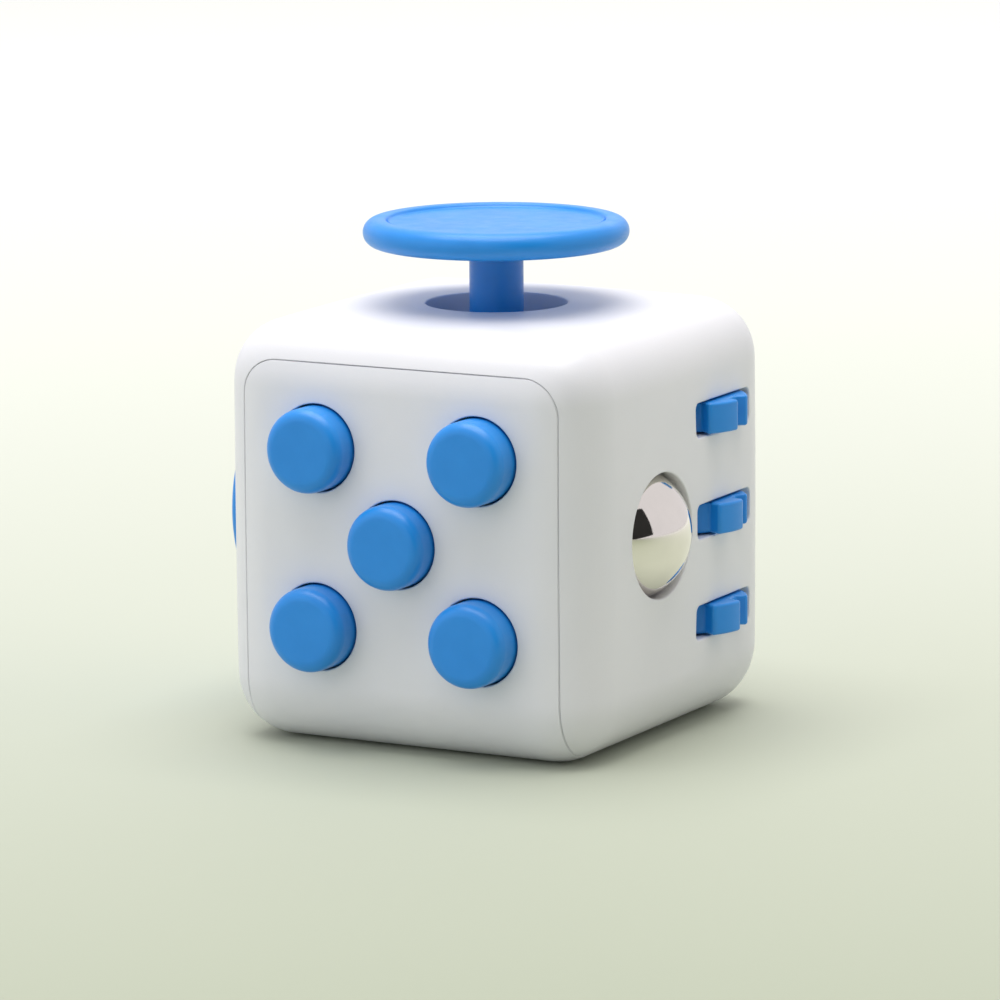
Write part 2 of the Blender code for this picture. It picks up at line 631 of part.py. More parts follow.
def make_joystick_housing():
    """Cup that carries the gimbal ring and the spring, with a wide mouth for the skirt."""
    top = PIVOT_DEPTH - WALL - REST_GAP
    wide = SKIRT_RADIUS + SKIRT_GAP
    cup = CUP_INNER + CUP_WALL
    profile = [(0, -CUP_DEPTH), (CUP_INNER, -CUP_DEPTH), (CUP_INNER, SHELF), (wide, SHELF), (wide, top),
               (wide + CUP_WALL, top), (wide + CUP_WALL, SHELF - CUP_WALL), (cup, SHELF - CUP_WALL),
               (cup, -CUP_DEPTH - CUP_WALL), (0, -CUP_DEPTH - CUP_WALL)]
    housing = place(turned("joystick_housing", profile), STICK_PIVOT)
    for name, x, y in STICK_SCREWS:
        near = wide + CUP_WALL / 2
        far = math.hypot(x, y) + BOSS_RADIUS
        middle = PIVOT_DEPTH - STICK_LUG_TOP - STICK_LUG_THICK / 2
        size = (far - near, 2 * BOSS_RADIUS, STICK_LUG_THICK)
        lug = box(name + "_lug", size, ((near + far) / 2, 0, middle))
        join(housing, place(lug, STICK_PIVOT, (0, 0, 0), (0, 0, math.atan2(y, x))))
        through = rod(name + "_through", SCREW_SHANK_RADIUS + PILOT_GAP,
                      -STICK_LUG_TOP - STICK_LUG_THICK - OVERCUT, -STICK_LUG_TOP + OVERCUT, COARSE)
        cut(housing, place(through, TOP, (x, y, 0)))
    bore = rod("housing_bore", TRUNNION_RADIUS + PIN_GAP, -cup - PIN_GAP, cup + PIN_GAP, 16, "X")
    cut(housing, place(bore, STICK_PIVOT))
    return finish(housing, GREY_SURFACE)


def make_joystick():
    make_joystick_disc()
    make_joystick_stem()
    make_gimbal_ring()
    make_joystick_housing()
    low = -CUP_DEPTH + STICK_SPRING_WIRE + MOVE_GAP
    high = -FOOT_DEPTH - STICK_SPRING_WIRE - MOVE_GAP
    points = spring_points(STICK_SPRING_RADIUS, low, high, STICK_SPRING_TURNS)
    finish(place(wire("joystick_spring", points, STICK_SPRING_WIRE), STICK_PIVOT), STEEL_SURFACE)
    for name, x, y in STICK_SCREWS:
        seat = -STICK_LUG_TOP - STICK_LUG_THICK - MOVE_GAP
        screw(name, TOP, x, y, seat, -BLIND_WALL - MOVE_GAP - seat)


# ---------------------------------------------------------------- ball
def make_ball_module():
    finish(place(ball("steel_ball", BALL_RADIUS), BALL_CENTRE), CHROME_SURFACE)
    make_ball_saddle()
    profile = dome_profile(CLICK_RADIUS, CLICK_HEIGHT, DOME_THICK)
    dome = turned("ball_click_dome", profile)
    finish(place(dome, BALL_CENTRE, (0, 0, -BALL_PLATE + RETURN_LIFT)), STEEL_SURFACE)
    make_ball_bracket()
    for name, x, y in BALL_SCREWS:
        seat = -WALL - REST_GAP - BALL_FOOT_THICK - MOVE_GAP
        screw(name, RIGHT, x, y, seat, -BLIND_WALL - MOVE_GAP - seat)


def make_ball_saddle():
    """Cap-shaped seat behind the ball, with two ears that slide between the bracket's legs."""
    inner = BALL_RADIUS + MOVE_GAP
    outer = inner + SADDLE_THICK
    angles = [-90 + math.degrees(SADDLE_ANGLE) * i / 4 for i in range(5)]
    dish = [(inner * math.cos(math.radians(a)), inner * math.sin(math.radians(a))) for a in angles]
    back = [(outer * math.cos(math.radians(a)), outer * math.sin(math.radians(a)))
            for a in reversed(angles)]
    dish[0] = (0, -inner)
    back[-1] = (0, -outer)
    saddle = place(turned("ball_saddle", dish + back), BALL_CENTRE)
    rim_radius = outer * math.sin(SADDLE_ANGLE)
    rim_depth = outer * math.cos(SADDLE_ANGLE)
    reach = BALL_RADIUS + BALL_LEG_GAP - REST_GAP
    for side in (-1, 1):
        low, high = sorted((side * (rim_radius - 0.5 * MM), side * reach))
        ear = box("saddle_ear", (2 * SADDLE_EAR, high - low, SADDLE_EAR),
                  (0, (low + high) / 2, -rim_depth - SADDLE_EAR * 0.1))
        join(saddle, place(ear, BALL_CENTRE))
    return finish(saddle, GREY_SURFACE)


def make_ball_bracket():
    """Bridge behind the ball on two legs, with a screw foot at the end of each leg."""
    leg_inner = BALL_RADIUS + BALL_LEG_GAP
    leg_outer = leg_inner + BALL_BRACKET_THICK
    wall = BALL_DEPTH - WALL - REST_GAP
    width = BALL_BRACKET_WIDTH
    back = -BALL_PLATE - BALL_BRACKET_THICK
    size = (width, 2 * leg_outer, BALL_BRACKET_THICK)
    bracket = place(box("ball_bracket", size, (0, 0, back / 2 - BALL_PLATE / 2)), BALL_CENTRE)
    for side in (-1, 1):
        leg = box("ball_leg", (width, BALL_BRACKET_THICK, wall - back),
                  (0, side * (leg_inner + BALL_BRACKET_THICK / 2), (wall + back) / 2))
        foot_reach = leg_outer + 2 * BOSS_RADIUS
        foot = box("ball_foot", (width, foot_reach - leg_inner, BALL_FOOT_THICK),
                   (0, side * (leg_inner + foot_reach) / 2, wall - BALL_FOOT_THICK / 2))
        join(bracket, place(leg, BALL_CENTRE))
        join(bracket, place(foot, BALL_CENTRE))
    for name, x, y in BALL_SCREWS:
        through = rod(name + "_through", SCREW_SHANK_RADIUS + PILOT_GAP,
                      -WALL - REST_GAP - BALL_FOOT_THICK - OVERCUT, -WALL + OVERCUT, COARSE)
        cut(bracket, place(through, RIGHT, (x, y, 0)))
    return finish(bracket, GREY_SURFACE)


# ---------------------------------------------------------------- toothed wheels
def wheel_outline(turn):
    """Blocky teeth: arcs at the tip radius, with straight-sided gaps; turn is in degrees from +X."""
    pitch = 360 / WHEEL_TEETH
    tip = pitch * TOOTH_SHARE
    root = WHEEL_RADIUS - TOOTH_DEPTH
    gap = (pitch - tip) * 0.8
    outline = []
    for tooth in range(WHEEL_TEETH):
        middle = tooth * pitch + turn
        outline += arc((0, 0), WHEEL_RADIUS, middle - tip / 2, middle + tip / 2, 4)
        outline += arc((0, 0), root, middle + pitch / 2 - gap / 2, middle + pitch / 2 + gap / 2, 2)
    return outline


def make_wheels():
    for name, height in WHEELS:
        wheel = plate(name, wheel_outline(WHEEL_TURNS[name]), -WHEEL_THICK / 2, WHEEL_THICK / 2)
        place(wheel, AXLE, (0, 0, height))
        bore = rod(name + "_bore", AXLE_RADIUS + PIN_GAP, -WHEEL_THICK, WHEEL_THICK, 20)
        finish(cut(wheel, place(bore, AXLE, (0, 0, height))), BLUE_SURFACE)
    axle = rod("wheel_axle", AXLE_RADIUS, -AXLE_REACH, AXLE_REACH, 20)
    finish(place(axle, AXLE), STEEL_SURFACE)
    make_wheel_comb()
    for name, x, y in COMB_SCREWS:
        seat = COMB_INNER - MOVE_GAP
        screw(name, RIGHT, x, y, seat, -BLIND_WALL - MOVE_GAP - seat)


def make_wheel_comb():
    """Comb with a spine behind the wheels and an arm above, below and between them."""
    spine_near = WHEEL_OFFSET + WHEEL_RADIUS + REST_GAP
    spine_far = spine_near + 0.9 * MM
    wall = -WALL - REST_GAP
    half_height = AXLE_REACH - 0.3 * MM
    spine = box("wheel_comb", (spine_far - spine_near, 2 * half_height, 2.6 * MM),
                ((spine_near + spine_far) / 2, 0, COMB_INNER + 0.5 * MM))
    place(spine, RIGHT)
    near = WHEEL_OFFSET - AXLE_RADIUS - 0.7 * MM
    arms = [(side * (half_height - COMB_ARM / 2), COMB_ARM) for side in (-1, 1)]
    arms += [(side * WHEEL_PITCH / 2, COMB_MID_ARM) for side in (-1, 1)]
    arm_wall = wall - COMB_TRIM
    for height, thick in arms:
        arm = box("comb_arm", (spine_far - near - 0.2 * MM, thick, arm_wall - COMB_INNER),
                  ((near + spine_far - 0.2 * MM) / 2, height, (arm_wall + COMB_INNER) / 2))
        join(spine, place(arm, RIGHT))
    for name, x, y in COMB_SCREWS:
        pad = box(name + "_pad", (2 * BOSS_RADIUS - 0.2 * MM, COMB_MID_ARM, wall - COMB_INNER),
                  (x, y, (wall + COMB_INNER) / 2))
        join(spine, place(pad, RIGHT))
    bore = rod("comb_bore", AXLE_RADIUS + PIN_GAP, -SIDE, SIDE, 20)
    cut(spine, place(bore, AXLE))
    for name, x, y in COMB_SCREWS:
        hole = SCREW_SHANK_RADIUS + PILOT_GAP
        through = rod(name + "_through", hole, COMB_INNER - OVERCUT, OVERCUT, COARSE)
        cut(spine, place(through, RIGHT, (x, y, 0)))
    return finish(spine, GREY_SURFACE)


# ---------------------------------------------------------------- dial
def make_dial():
    rim = arc((DIAL_RADIUS - DIAL_EDGE, DIAL_PROUD - DIAL_EDGE), DIAL_EDGE, 90, 0, 3)
    shoulder = REST_GAP
    hole = SCREW_SHANK_RADIUS + PILOT_GAP
    chamfer = 0.2 * MM
    profile = ([(0, DIAL_PROUD)] + rim
               + [(DIAL_RADIUS, shoulder + chamfer), (DIAL_RADIUS - chamfer, shoulder),
                  (DIAL_HUB, shoulder), (DIAL_HUB, -HUB_END), (hole, -HUB_END),
                  (hole, DIAL_SCREW_DEPTH), (0, DIAL_SCREW_DEPTH)])
    dial = place(turned("spin_dial", profile, FINE), LEFT)
    sphere = (DIMPLE_DEPTH ** 2 + DIMPLE_RADIUS ** 2) / (2 * DIMPLE_DEPTH)
    dimple = ball("dimple", sphere, 24)
    centre = (0, DIAL_RADIUS - DIMPLE_RADIUS - 1.4 * MM, DIAL_PROUD + sphere - DIMPLE_DEPTH)
    finish(cut(dial, place(dimple, LEFT, centre)), BLUE_SURFACE)
    bore = DIAL_HUB + MOVE_GAP
    low = -WALL - REST_GAP - FRICTION_THICK
    high = low + FRICTION_THICK
    friction = [(FRICTION_RADIUS, high), (FRICTION_RADIUS, low), (bore, low), (bore, high)]
    finish(place(turned("dial_friction_ring", friction, ring=True), LEFT), SILICONE_SURFACE)
    top = -HUB_END - MOVE_GAP
    bottom = top - RETAINER_THICK
    retainer = [(RETAINER_RADIUS, top), (RETAINER_RADIUS, bottom), (hole, bottom), (hole, top)]
    finish(place(turned("dial_retainer", retainer, ring=True), LEFT), GREY_SURFACE)
    seat = bottom - MOVE_GAP
    screw("dial_screw", LEFT, 0, 0, seat, DIAL_SCREW_DEPTH - MOVE_GAP - seat)


# ---------------------------------------------------------------- rocker
def rocker_outline():
    """Side view about the pin: dipped top, round ends about the pin, hub and detent nose below."""
    top = ROCKER_PIVOT + ROCKER_RISE
    end_high = math.degrees(math.asin((top + ROCKER_HOLLOW) / ROCKER_RADIUS))
    end_low = math.degrees(math.asin((top + ROCKER_HOLLOW - 2 * ROCKER_BODY) / ROCKER_RADIUS))
    right_end = arc((0, 0), ROCKER_RADIUS, end_low, end_high, 4)
    left_end = arc((0, 0), ROCKER_RADIUS, 180 - end_high, 180 - end_low, 4)
    reach = ROCKER_RADIUS * math.cos(math.radians(end_high))
    dip = [(reach * (1 - i / 4), top + ROCKER_HOLLOW * (1 - i / 4) ** 2) for i in range(1, 8)]
    hub_left = arc((0, 0), ROCKER_HUB, 150, 235, 4)
    hub_right = arc((0, 0), ROCKER_HUB, -55, 30, 4)
    nose = arc((0, -ROCKER_NOSE + NOSE_RADIUS), NOSE_RADIUS, 180, 360, 6)
    return right_end + dip + left_end + hub_left + nose + hub_right


def make_rocker():
    rocker = plate("flip_rocker", rocker_outline(), -ROCKER_WIDTH / 2, ROCKER_WIDTH / 2)
    place(rocker, ROCKER_FRAME)
    bore = rod("rocker_bore", ROCKER_PIN_RADIUS + PIN_GAP, -ROCKER_WIDTH, ROCKER_WIDTH, 16)
    finish(cut(rocker, place(bore, ROCKER_FRAME)), BLUE_SURFACE)
    reach = ROCKER_WIDTH / 2 + REST_GAP + CHEEK_THICK
    pin = rod("rocker_pin", ROCKER_PIN_RADIUS, -reach, reach, 16)
    finish(place(pin, ROCKER_FRAME), STEEL_SURFACE)
    make_rocker_housing()
    make_rocker_leaf()
    for name, x, y in ROCKER_SCREWS:
        seat = -WALL - REST_GAP - CHEEK_THICK - MOVE_GAP
        screw(name, BACK, x, y, seat, -BLIND_WALL - MOVE_GAP - seat)


def make_rocker_housing():
    """Trough behind the opening: two cheeks for the pin, a floor for the leaf and two screw feet."""
    inner = ROCKER_WIDTH / 2 + REST_GAP
    top = -WALL - REST_GAP
    half = ROCKER_RADIUS + ROCKER_END_GAP
    floor = -LEAF_FLOOR - CHEEK_THICK
    housing = box("rocker_housing", (2 * (inner + CHEEK_THICK), 2 * half, CHEEK_THICK),
                  (0, 0, floor + CHEEK_THICK / 2))
    place(housing, BACK)
    for side in (-1, 1):
        cheek = box("rocker_cheek", (CHEEK_THICK, 2 * half, top - floor),
                    (side * (inner + CHEEK_THICK / 2), 0, (top + floor) / 2))
        join(housing, place(cheek, BACK))
        end = box("rocker_end", (2 * (inner + CHEEK_THICK), CHEEK_THICK, top - floor),
                  (0, side * (half + CHEEK_THICK / 2 - 0.1 * MM), (top + floor) / 2))
        join(housing, place(end, BACK))
        foot = box("rocker_foot", (2 * BOSS_RADIUS, 2 * BOSS_RADIUS + 0.4 * MM, CHEEK_THICK),
                   (0, side * (half + CHEEK_THICK + BOSS_RADIUS - 0.4 * MM), top - CHEEK_THICK / 2))
        join(housing, place(foot, BACK))
    for name, x, y in ROCKER_SCREWS:
        through = rod(name + "_through", SCREW_SHANK_RADIUS + PILOT_GAP, top - CHEEK_THICK - OVERCUT,
                      top + OVERCUT, COARSE)
        cut(housing, place(through, BACK, (x, y, 0)))
    bore = rod("cheek_bore", ROCKER_PIN_RADIUS + PIN_GAP, -SIDE / 2, SIDE / 2, 16, "X")
    cut(housing, place(bore, BACK, (0, 0, -ROCKER_PIVOT)))
    return finish(housing, GREY_SURFACE)


def make_rocker_leaf():
    """Thin spring strip with a hump that the rocker's nose snaps across."""
    reach = ROCKER_RADIUS - 1.0 * MM
    hump = 0.9 * MM
    upper = [(reach, 0), (hump, 0), (0, LEAF_HUMP), (-hump, 0), (-reach, 0)]
    lower = [(x, y - LEAF_THICK) for x, y in reversed(upper)]
    leaf = plate("rocker_leaf_spring", upper + lower, -ROCKER_WIDTH / 4, ROCKER_WIDTH / 4)
    return finish(place(leaf, LEAF_FRAME), STEEL_SURFACE)


# ---------------------------------------------------------------- layout from the sizes above
FLANGE_TOP = WALL + MOVE_GAP + 0.1 * MM
PLUNGER_END = FLANGE_TOP + FLANGE_THICK + PLUNGER_LENGTH
RETURN_LIFT = 0.05 * MM     # domes and pads lie this far above their seats
SEAT_FLOOR = PLUNGER_END + SEAT_GAP + DOME_HEIGHT + RETURN_LIFT
CARRIER_FRONT = FLANGE_TOP + FLANGE_THICK + BUTTON_TRAVEL + REST_GAP
CARRIER_BACK = CARRIER_FRONT + CARRIER_THICK

near, far = -BUTTON_PITCH / 2, BUTTON_PITCH / 2
BUTTONS = [("button_top_left", near, far), ("button_top_right", far, far), ("button_centre", 0, 0),
           ("button_bottom_left", near, near), ("button_bottom_right", far, near)]
CLICKING = ("button_top_left", "button_centre", "button_bottom_right")
spread = BUTTON_PITCH / 2 + 2.7 * MM
CARRIER_SCREWS = [("carrier_screw_top", 0, spread), ("carrier_screw_bottom", 0, -spread),
                  ("carrier_screw_left", -spread, 0), ("carrier_screw_right", spread, 0)]

STICK_LUG_REACH = SKIRT_RADIUS + SKIRT_GAP + CUP_WALL + REST_GAP + BOSS_RADIUS
STICK_SCREWS = [(name, *arc((0, 0), STICK_LUG_REACH, angle, angle, 1)[0]) for name, angle in
                (("housing_screw_back", 90), ("housing_screw_left", 210), ("housing_screw_right", 330))]

BALL_DEPTH = BALL_RADIUS - BALL_PROUD       # ball's centre below the right face
BALL_HOLE_RADIUS = math.sqrt(BALL_RADIUS ** 2 - max(BALL_DEPTH - WALL, 0) ** 2) + BALL_HOLE_GAP
BALL_PLATE = (BALL_RADIUS + MOVE_GAP + SADDLE_THICK + 0.25 * MM + CLICK_HEIGHT + RETURN_LIFT)
ball_screw_height = BALL_RADIUS + BALL_LEG_GAP + BALL_BRACKET_THICK + BOSS_RADIUS
BALL_SCREWS = [("ball_screw_top", BALL_OFFSET, ball_screw_height),
               ("ball_screw_bottom", BALL_OFFSET, -ball_screw_height)]

WHEEL_OFFSET = BALL_OFFSET + BALL_RADIUS + BALL_WHEEL_GAP + WHEEL_RADIUS
WHEEL_DEPTH = WHEEL_RADIUS - WHEEL_PROUD    # axle below the right face
WHEELS = [("toothed_wheel_top", WHEEL_PITCH), ("toothed_wheel_middle", 0),
          ("toothed_wheel_bottom", -WHEEL_PITCH)]
SLOT_LENGTH = 2 * (math.sqrt(WHEEL_RADIUS ** 2 - (WHEEL_DEPTH - WALL) ** 2) + MOVE_GAP)
SLOT_HEIGHT = WHEEL_THICK + 2 * MOVE_GAP + 0.1 * MM
AXLE_REACH = WHEEL_PITCH + WHEEL_THICK / 2 + 0.5 * MM + COMB_ARM + 0.3 * MM
COMB_INNER = -WHEEL_DEPTH - AXLE_RADIUS - 0.5 * MM
COMB_SCREWS = [("comb_screw_top", WHEEL_OFFSET + 3.2 * MM, WHEEL_PITCH / 2),
               ("comb_screw_bottom", WHEEL_OFFSET + 3.2 * MM, -WHEEL_PITCH / 2)]

HUB_END = WALL + REST_GAP + FRICTION_THICK + MOVE_GAP
DIAL_SCREW_DEPTH = 0.8 * MM                 # end of the screw hole above the left face

rocker_spread = ROCKER_RADIUS + ROCKER_END_GAP + CHEEK_THICK + BOSS_RADIUS - 0.2 * MM
ROCKER_SCREWS = [("rocker_screw_top", 0, rocker_spread), ("rocker_screw_bottom", 0, -rocker_spread)]
LEAF_FLOOR = ROCKER_PIVOT + ROCKER_NOSE + LEAF_HUMP + LEAF_THICK + RETURN_LIFT - 0.1 * MM

tab_depth = HALF - WALL - 4.4 * MM
tab_corner = STRAP_CORNER * (1 - math.cos(math.radians(45))) + TAB_CLEAR
tab_height = SIDE - STRAP_MARGIN_TOP - tab_corner - TAB_HEIGHT / 2
TAB_SIDE = HALF - STRAP_MARGIN_SIDE - tab_corner - TAB_THICK / 2
SNAP_TABS = [(f"tab_{where}_{hand}", side, depth, tab_height) for where, depth in
             (("front", -tab_depth), ("back", tab_depth)) for hand, side in (("left", -1), ("right", 1))]

# ---------------------------------------------------------------- build
clear_scene()
PARTS = collection("fidget_cube")
GUIDES = collection("guides_and_cutters")

SHELL_SURFACE = material("white_shell", WHITE, 0.38)
BLUE_SURFACE = material("blue_control", BLUE, 0.32)
GREY_SURFACE = material("grey_frame", GREY, 0.5)
SILICONE_SURFACE = material("silicone", SILICONE, 0.7)
STEEL_SURFACE = material("spring_steel", STEEL, 0.3, 1.0)
CHROME_SURFACE = material("polished_ball", CHROME, 0.05, 1.0)

FRONT = face_frame("front_face", (0, -HALF, HALF), (90, 0, 0))
RIGHT = face_frame("right_face", (HALF, 0, HALF), (90, 0, 90))
BACK = face_frame("back_face", (0, HALF, HALF), (90, 0, 180))
LEFT = face_frame("left_face", (-HALF, 0, HALF), (90, 0, -90))
TOP = face_frame("top_face", (0, 0, SIDE), (0, 0, 0))
STICK_PIVOT = face_frame("joystick_pivot", (0, 0, SIDE - PIVOT_DEPTH), (0, 0, 0))
BALL_CENTRE = face_frame("ball_centre", (HALF - BALL_DEPTH, BALL_OFFSET, HALF), (90, 0, 90))
AXLE = face_frame("wheel_axis", (HALF - WHEEL_DEPTH, WHEEL_OFFSET, HALF), (0, 0, 0))
# Local X runs down the rocker, local Y out of the back face and local Z along the pin.
ROCKER_FRAME = face_frame("rocker_pivot", (0, HALF - ROCKER_PIVOT, HALF), (0, 90, 0))
leaf_depth = LEAF_FLOOR - LEAF_THICK - RETURN_LIFT
LEAF_FRAME = face_frame("leaf_floor", (0, HALF - leaf_depth, HALF), (0, 90, 0))
ROCKER_FRAME.rotation_euler.rotate_axis("Z", ROCKER_TILT)

make_side_top_shell()
make_strap_shell()
make_buttons()
make_joystick()
make_ball_module()
make_wheels()
make_dial()
make_rocker()
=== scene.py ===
"""Fidget cube: the visible pieces, their finishes, and a plain studio stage.

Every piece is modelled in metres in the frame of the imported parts. The frames FRONT, RIGHT, BACK,
LEFT and TOP have their local Z pointing out of that face of the cube, with z = 0 on the face's
outermost plane. Outlines and arcs are lists of (x, y), and rings are lists of (radius, height).
"""

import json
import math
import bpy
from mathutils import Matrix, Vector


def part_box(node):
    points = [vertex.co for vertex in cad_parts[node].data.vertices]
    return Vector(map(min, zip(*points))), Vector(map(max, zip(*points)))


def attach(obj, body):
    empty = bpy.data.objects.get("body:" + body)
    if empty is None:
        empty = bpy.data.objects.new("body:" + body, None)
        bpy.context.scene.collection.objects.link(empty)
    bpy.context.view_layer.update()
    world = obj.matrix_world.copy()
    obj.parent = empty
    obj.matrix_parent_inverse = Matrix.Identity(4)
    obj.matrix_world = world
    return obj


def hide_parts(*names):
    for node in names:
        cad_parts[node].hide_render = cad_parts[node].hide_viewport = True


bl_info = {
    "name": "Fidget Cube",
    "version": (1, 0, 0),
    "blender": (4, 5, 0),
    "location": "3D View > Sidebar > Fidget Cube",
    "description": "Models the shells, controls and stage of a fidget cube around its packed parts",
    "category": "Add Mesh",
}

import bmesh
import bpy
from bpy.props import FloatProperty, FloatVectorProperty, PointerProperty
from mathutils import Matrix, Vector

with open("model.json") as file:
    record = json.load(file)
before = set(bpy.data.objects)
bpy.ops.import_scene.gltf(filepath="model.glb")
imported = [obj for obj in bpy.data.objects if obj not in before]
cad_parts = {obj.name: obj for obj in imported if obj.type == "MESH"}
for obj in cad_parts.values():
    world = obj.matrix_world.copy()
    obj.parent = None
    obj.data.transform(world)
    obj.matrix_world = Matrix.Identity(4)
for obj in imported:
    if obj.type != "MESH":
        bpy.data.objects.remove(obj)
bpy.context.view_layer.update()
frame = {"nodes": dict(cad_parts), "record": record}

MM = 0.001
BUTTONS = ("button_top_left", "button_top_right", "button_centre", "button_bottom_left",
           "button_bottom_right")
WHEELS = ("toothed_wheel_top", "toothed_wheel_middle", "toothed_wheel_bottom")
TINY = 0.01          # innermost ring of a closed end, as a share of its face or in millimetres


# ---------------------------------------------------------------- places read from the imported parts
def middle(node):
    low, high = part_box(node)
    return (low + high) / 2


def span(node):
    low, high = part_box(node)
    return high - low


def turn(x, y, z):
    """Turn by degrees about X, then Y, then Z."""
    return (Matrix.Rotation(math.radians(z), 4, "Z") @ Matrix.Rotation(math.radians(y), 4, "Y")
            @ Matrix.Rotation(math.radians(x), 4, "X"))


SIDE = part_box("side_top_shell")[1].z
HALF = SIDE / 2
CENTRE = Vector((0, 0, HALF))
FRONT = Matrix.Translation((0, -HALF, HALF)) @ turn(90, 0, 0)
RIGHT = Matrix.Translation((HALF, 0, HALF)) @ turn(90, 0, 90)
BACK = Matrix.Translation((0, HALF, HALF)) @ turn(90, 0, 180)
LEFT = Matrix.Translation((-HALF, 0, HALF)) @ turn(90, 0, -90)
TOP = Matrix.Translation((0, 0, SIDE))
GIMBAL = middle("joystick_gimbal_ring")
BALL = middle("steel_ball")
AXLE = middle("wheel_axle")
PIN = middle("rocker_pin")


# ---------------------------------------------------------------- sizes and colours
def length(name, description, default):
    return FloatProperty(name=name, description=description, default=default * MM, min=0.0,
                         unit="LENGTH", precision=5)


def colour(name, description, default):
    return FloatVectorProperty(name=name, description=description, default=default, size=3,
                               subtype="COLOR", min=0.0, max=1.0)


class CubeSizes(bpy.types.PropertyGroup):
    """Sizes of the visible pieces."""
    edge: length("Edge rounding", "Rounding of every outer edge of the body", 5.2)
    crown: length("Crown", "How far the faces fall away from middle to edge", 0.5)
    wall: length("Wall", "Wall thickness of both shells", 1.8)
    dish_floor: length("Dish floor", "Thickness of the underside with the dish in it", 3.5)
    strap_half: length("Strap half width", "From the middle of the strap to its side", 13.5)
    strap_top: length("Strap height", "From the cube's middle to the strap's top", 13.35)
    strap_corner: length("Strap corner", "Rounding of the strap's top corners", 2.8)
    seam: length("Seam", "Gap between the two shells", 0.04)
    groove: length("Seam groove", "Radius of the fine groove along the seam", 0.08)
    lip: length("Lip", "Rounding of the shells' edges at openings", 0.12)
    gap: length("Running gap", "Gap round a piece in its opening", 0.15)
    dish_length: length("Dish length", "Length of the thumb dish", 21.0)
    dish_width: length("Dish width", "Width of the thumb dish", 16.8)
    dish_depth: length("Dish depth", "Depth of the thumb dish", 1.6)
    button: length("Button radius", "Radius of a button cap", 3.25)
    button_edge: length("Button edge", "Rounding of a button's face", 0.95)
    flange: length("Button flange", "Thickness of the flange below a cap", 0.8)
    plunger: length("Plunger radius", "Radius of a button's plunger", 1.0)
    bead: length("Disc rim", "Width of the joystick disc's raised rim", 1.9)
    recess: length("Disc recess", "Depth of the joystick disc's dished face", 0.3)
    stem: length("Stem radius", "Radius of the joystick's stem", 2.1)
    skirt: length("Skirt radius", "Outer radius of the joystick's dust skirt", 7.0)
    stick_hole: length("Joystick hole radius", "Radius of the hole in the top face", 5.5)
    ball_hole: length("Ball hole radius", "Radius of the hole round the ball at its mouth", 4.85)
    ball_flare: length("Ball hole flare", "How much wider the ball's hole is inside", 0.45)
    wheel: length("Wheel radius", "Radius of a toothed wheel", 5.0)
    wheel_edge: length("Wheel edge", "Rounding of the wheels' teeth", 0.22)
    tooth: length("Tooth depth", "Depth of the wheels' teeth", 1.0)
    axle: length("Axle bore", "Radius of the bore of a wheel", 0.86)
    dial_edge: length("Dial edge", "Rounding of the dial's rim", 0.7)
    dimple: length("Dial dimple", "Radius of the dial's finger dimple", 2.5)
    dimple_depth: length("Dimple depth", "Depth of the dial's finger dimple", 0.75)
    dimple_brim: length("Dimple brim", "Width of the soft brim round the dimple", 0.25)
    dimple_margin: length("Dimple margin", "Distance of the dimple from the dial's rim", 1.5)
    rocker_edge: length("Rocker edge", "Rounding of the rocker's edges", 0.25)


class CubeColours(bpy.types.PropertyGroup):
    """Colours of the finishes."""
    shell: colour("Shell", "White plastic of both shells", (0.79, 0.795, 0.825))
    control: colour("Controls", "Blue plastic of all that a finger moves", (0.010, 0.265, 0.77))
    ball: colour("Ball", "Polished steel of the ball", (0.86, 0.82, 0.77))
    inner: colour("Inner frames", "Grey plastic of the frames inside", (0.32, 0.33, 0.35))
    spring: colour("Springs", "Bright steel of springs, pins and screws", (0.72, 0.72, 0.72))
    rubber: colour("Pads", "Translucent silicone of pads and friction ring", (0.62, 0.64, 0.66))
    floor: colour("Floor", "Floor of the stage near the cube", (0.36, 0.40, 0.29))
    floor_far: colour("Far floor", "Floor of the stage far behind the cube", (0.92, 0.94, 0.89))


# ---------------------------------------------------------------- modelling helpers
SAME_POINT = 0.001 * MM   # points closer than this are merged in every plate
CLOSE_POINT = 0.03 * MM   # points closer than this are merged before edges are rounded
CRUMB = 0.005 * MM        # shorter edges are dissolved before edges are rounded


def deselect():
    if bpy.context.object and bpy.context.object.mode != "OBJECT":
        bpy.ops.object.mode_set(mode="OBJECT")
    bpy.ops.object.select_all(action="DESELECT")


def only(obj):
    deselect()
    obj.select_set(True)
    bpy.context.view_layer.objects.active = obj
    return obj


def added(name):
    """Name the object that the last operator added."""
    obj = bpy.context.object
    obj.name = name
    obj.data.name = name
    return obj


def settle(obj, place):
    """Put the object's place into its mesh and leave the object at the origin."""
    obj.data.transform(place @ obj.matrix_basis)
    obj.matrix_basis = Matrix.Identity(4)
    return obj


def linked(name, data):
    """New object in the scene for a mesh, a curve, a light or a camera."""
    obj = bpy.data.objects.new(name, data)
    bpy.context.scene.collection.objects.link(obj)
    return only(obj)


def from_curve(name, curve):
    """Mesh object with the shape of a curve."""
    linked(name, curve)
    bpy.ops.object.convert(target="MESH")
    return added(name)


def apply(obj, modifier):
    only(obj)
    bpy.ops.object.modifier_apply(modifier=modifier.name)


def carve(obj, cutter, operation="DIFFERENCE"):
    """Cut a piece with another solid, or join the two; the other solid is used up."""
    step = obj.modifiers.new("carve", "BOOLEAN")
    step.operation = operation
    step.solver = "EXACT"
    step.object = cutter
    apply(obj, step)
    bpy.data.objects.remove(cutter, do_unlink=True)
    return obj


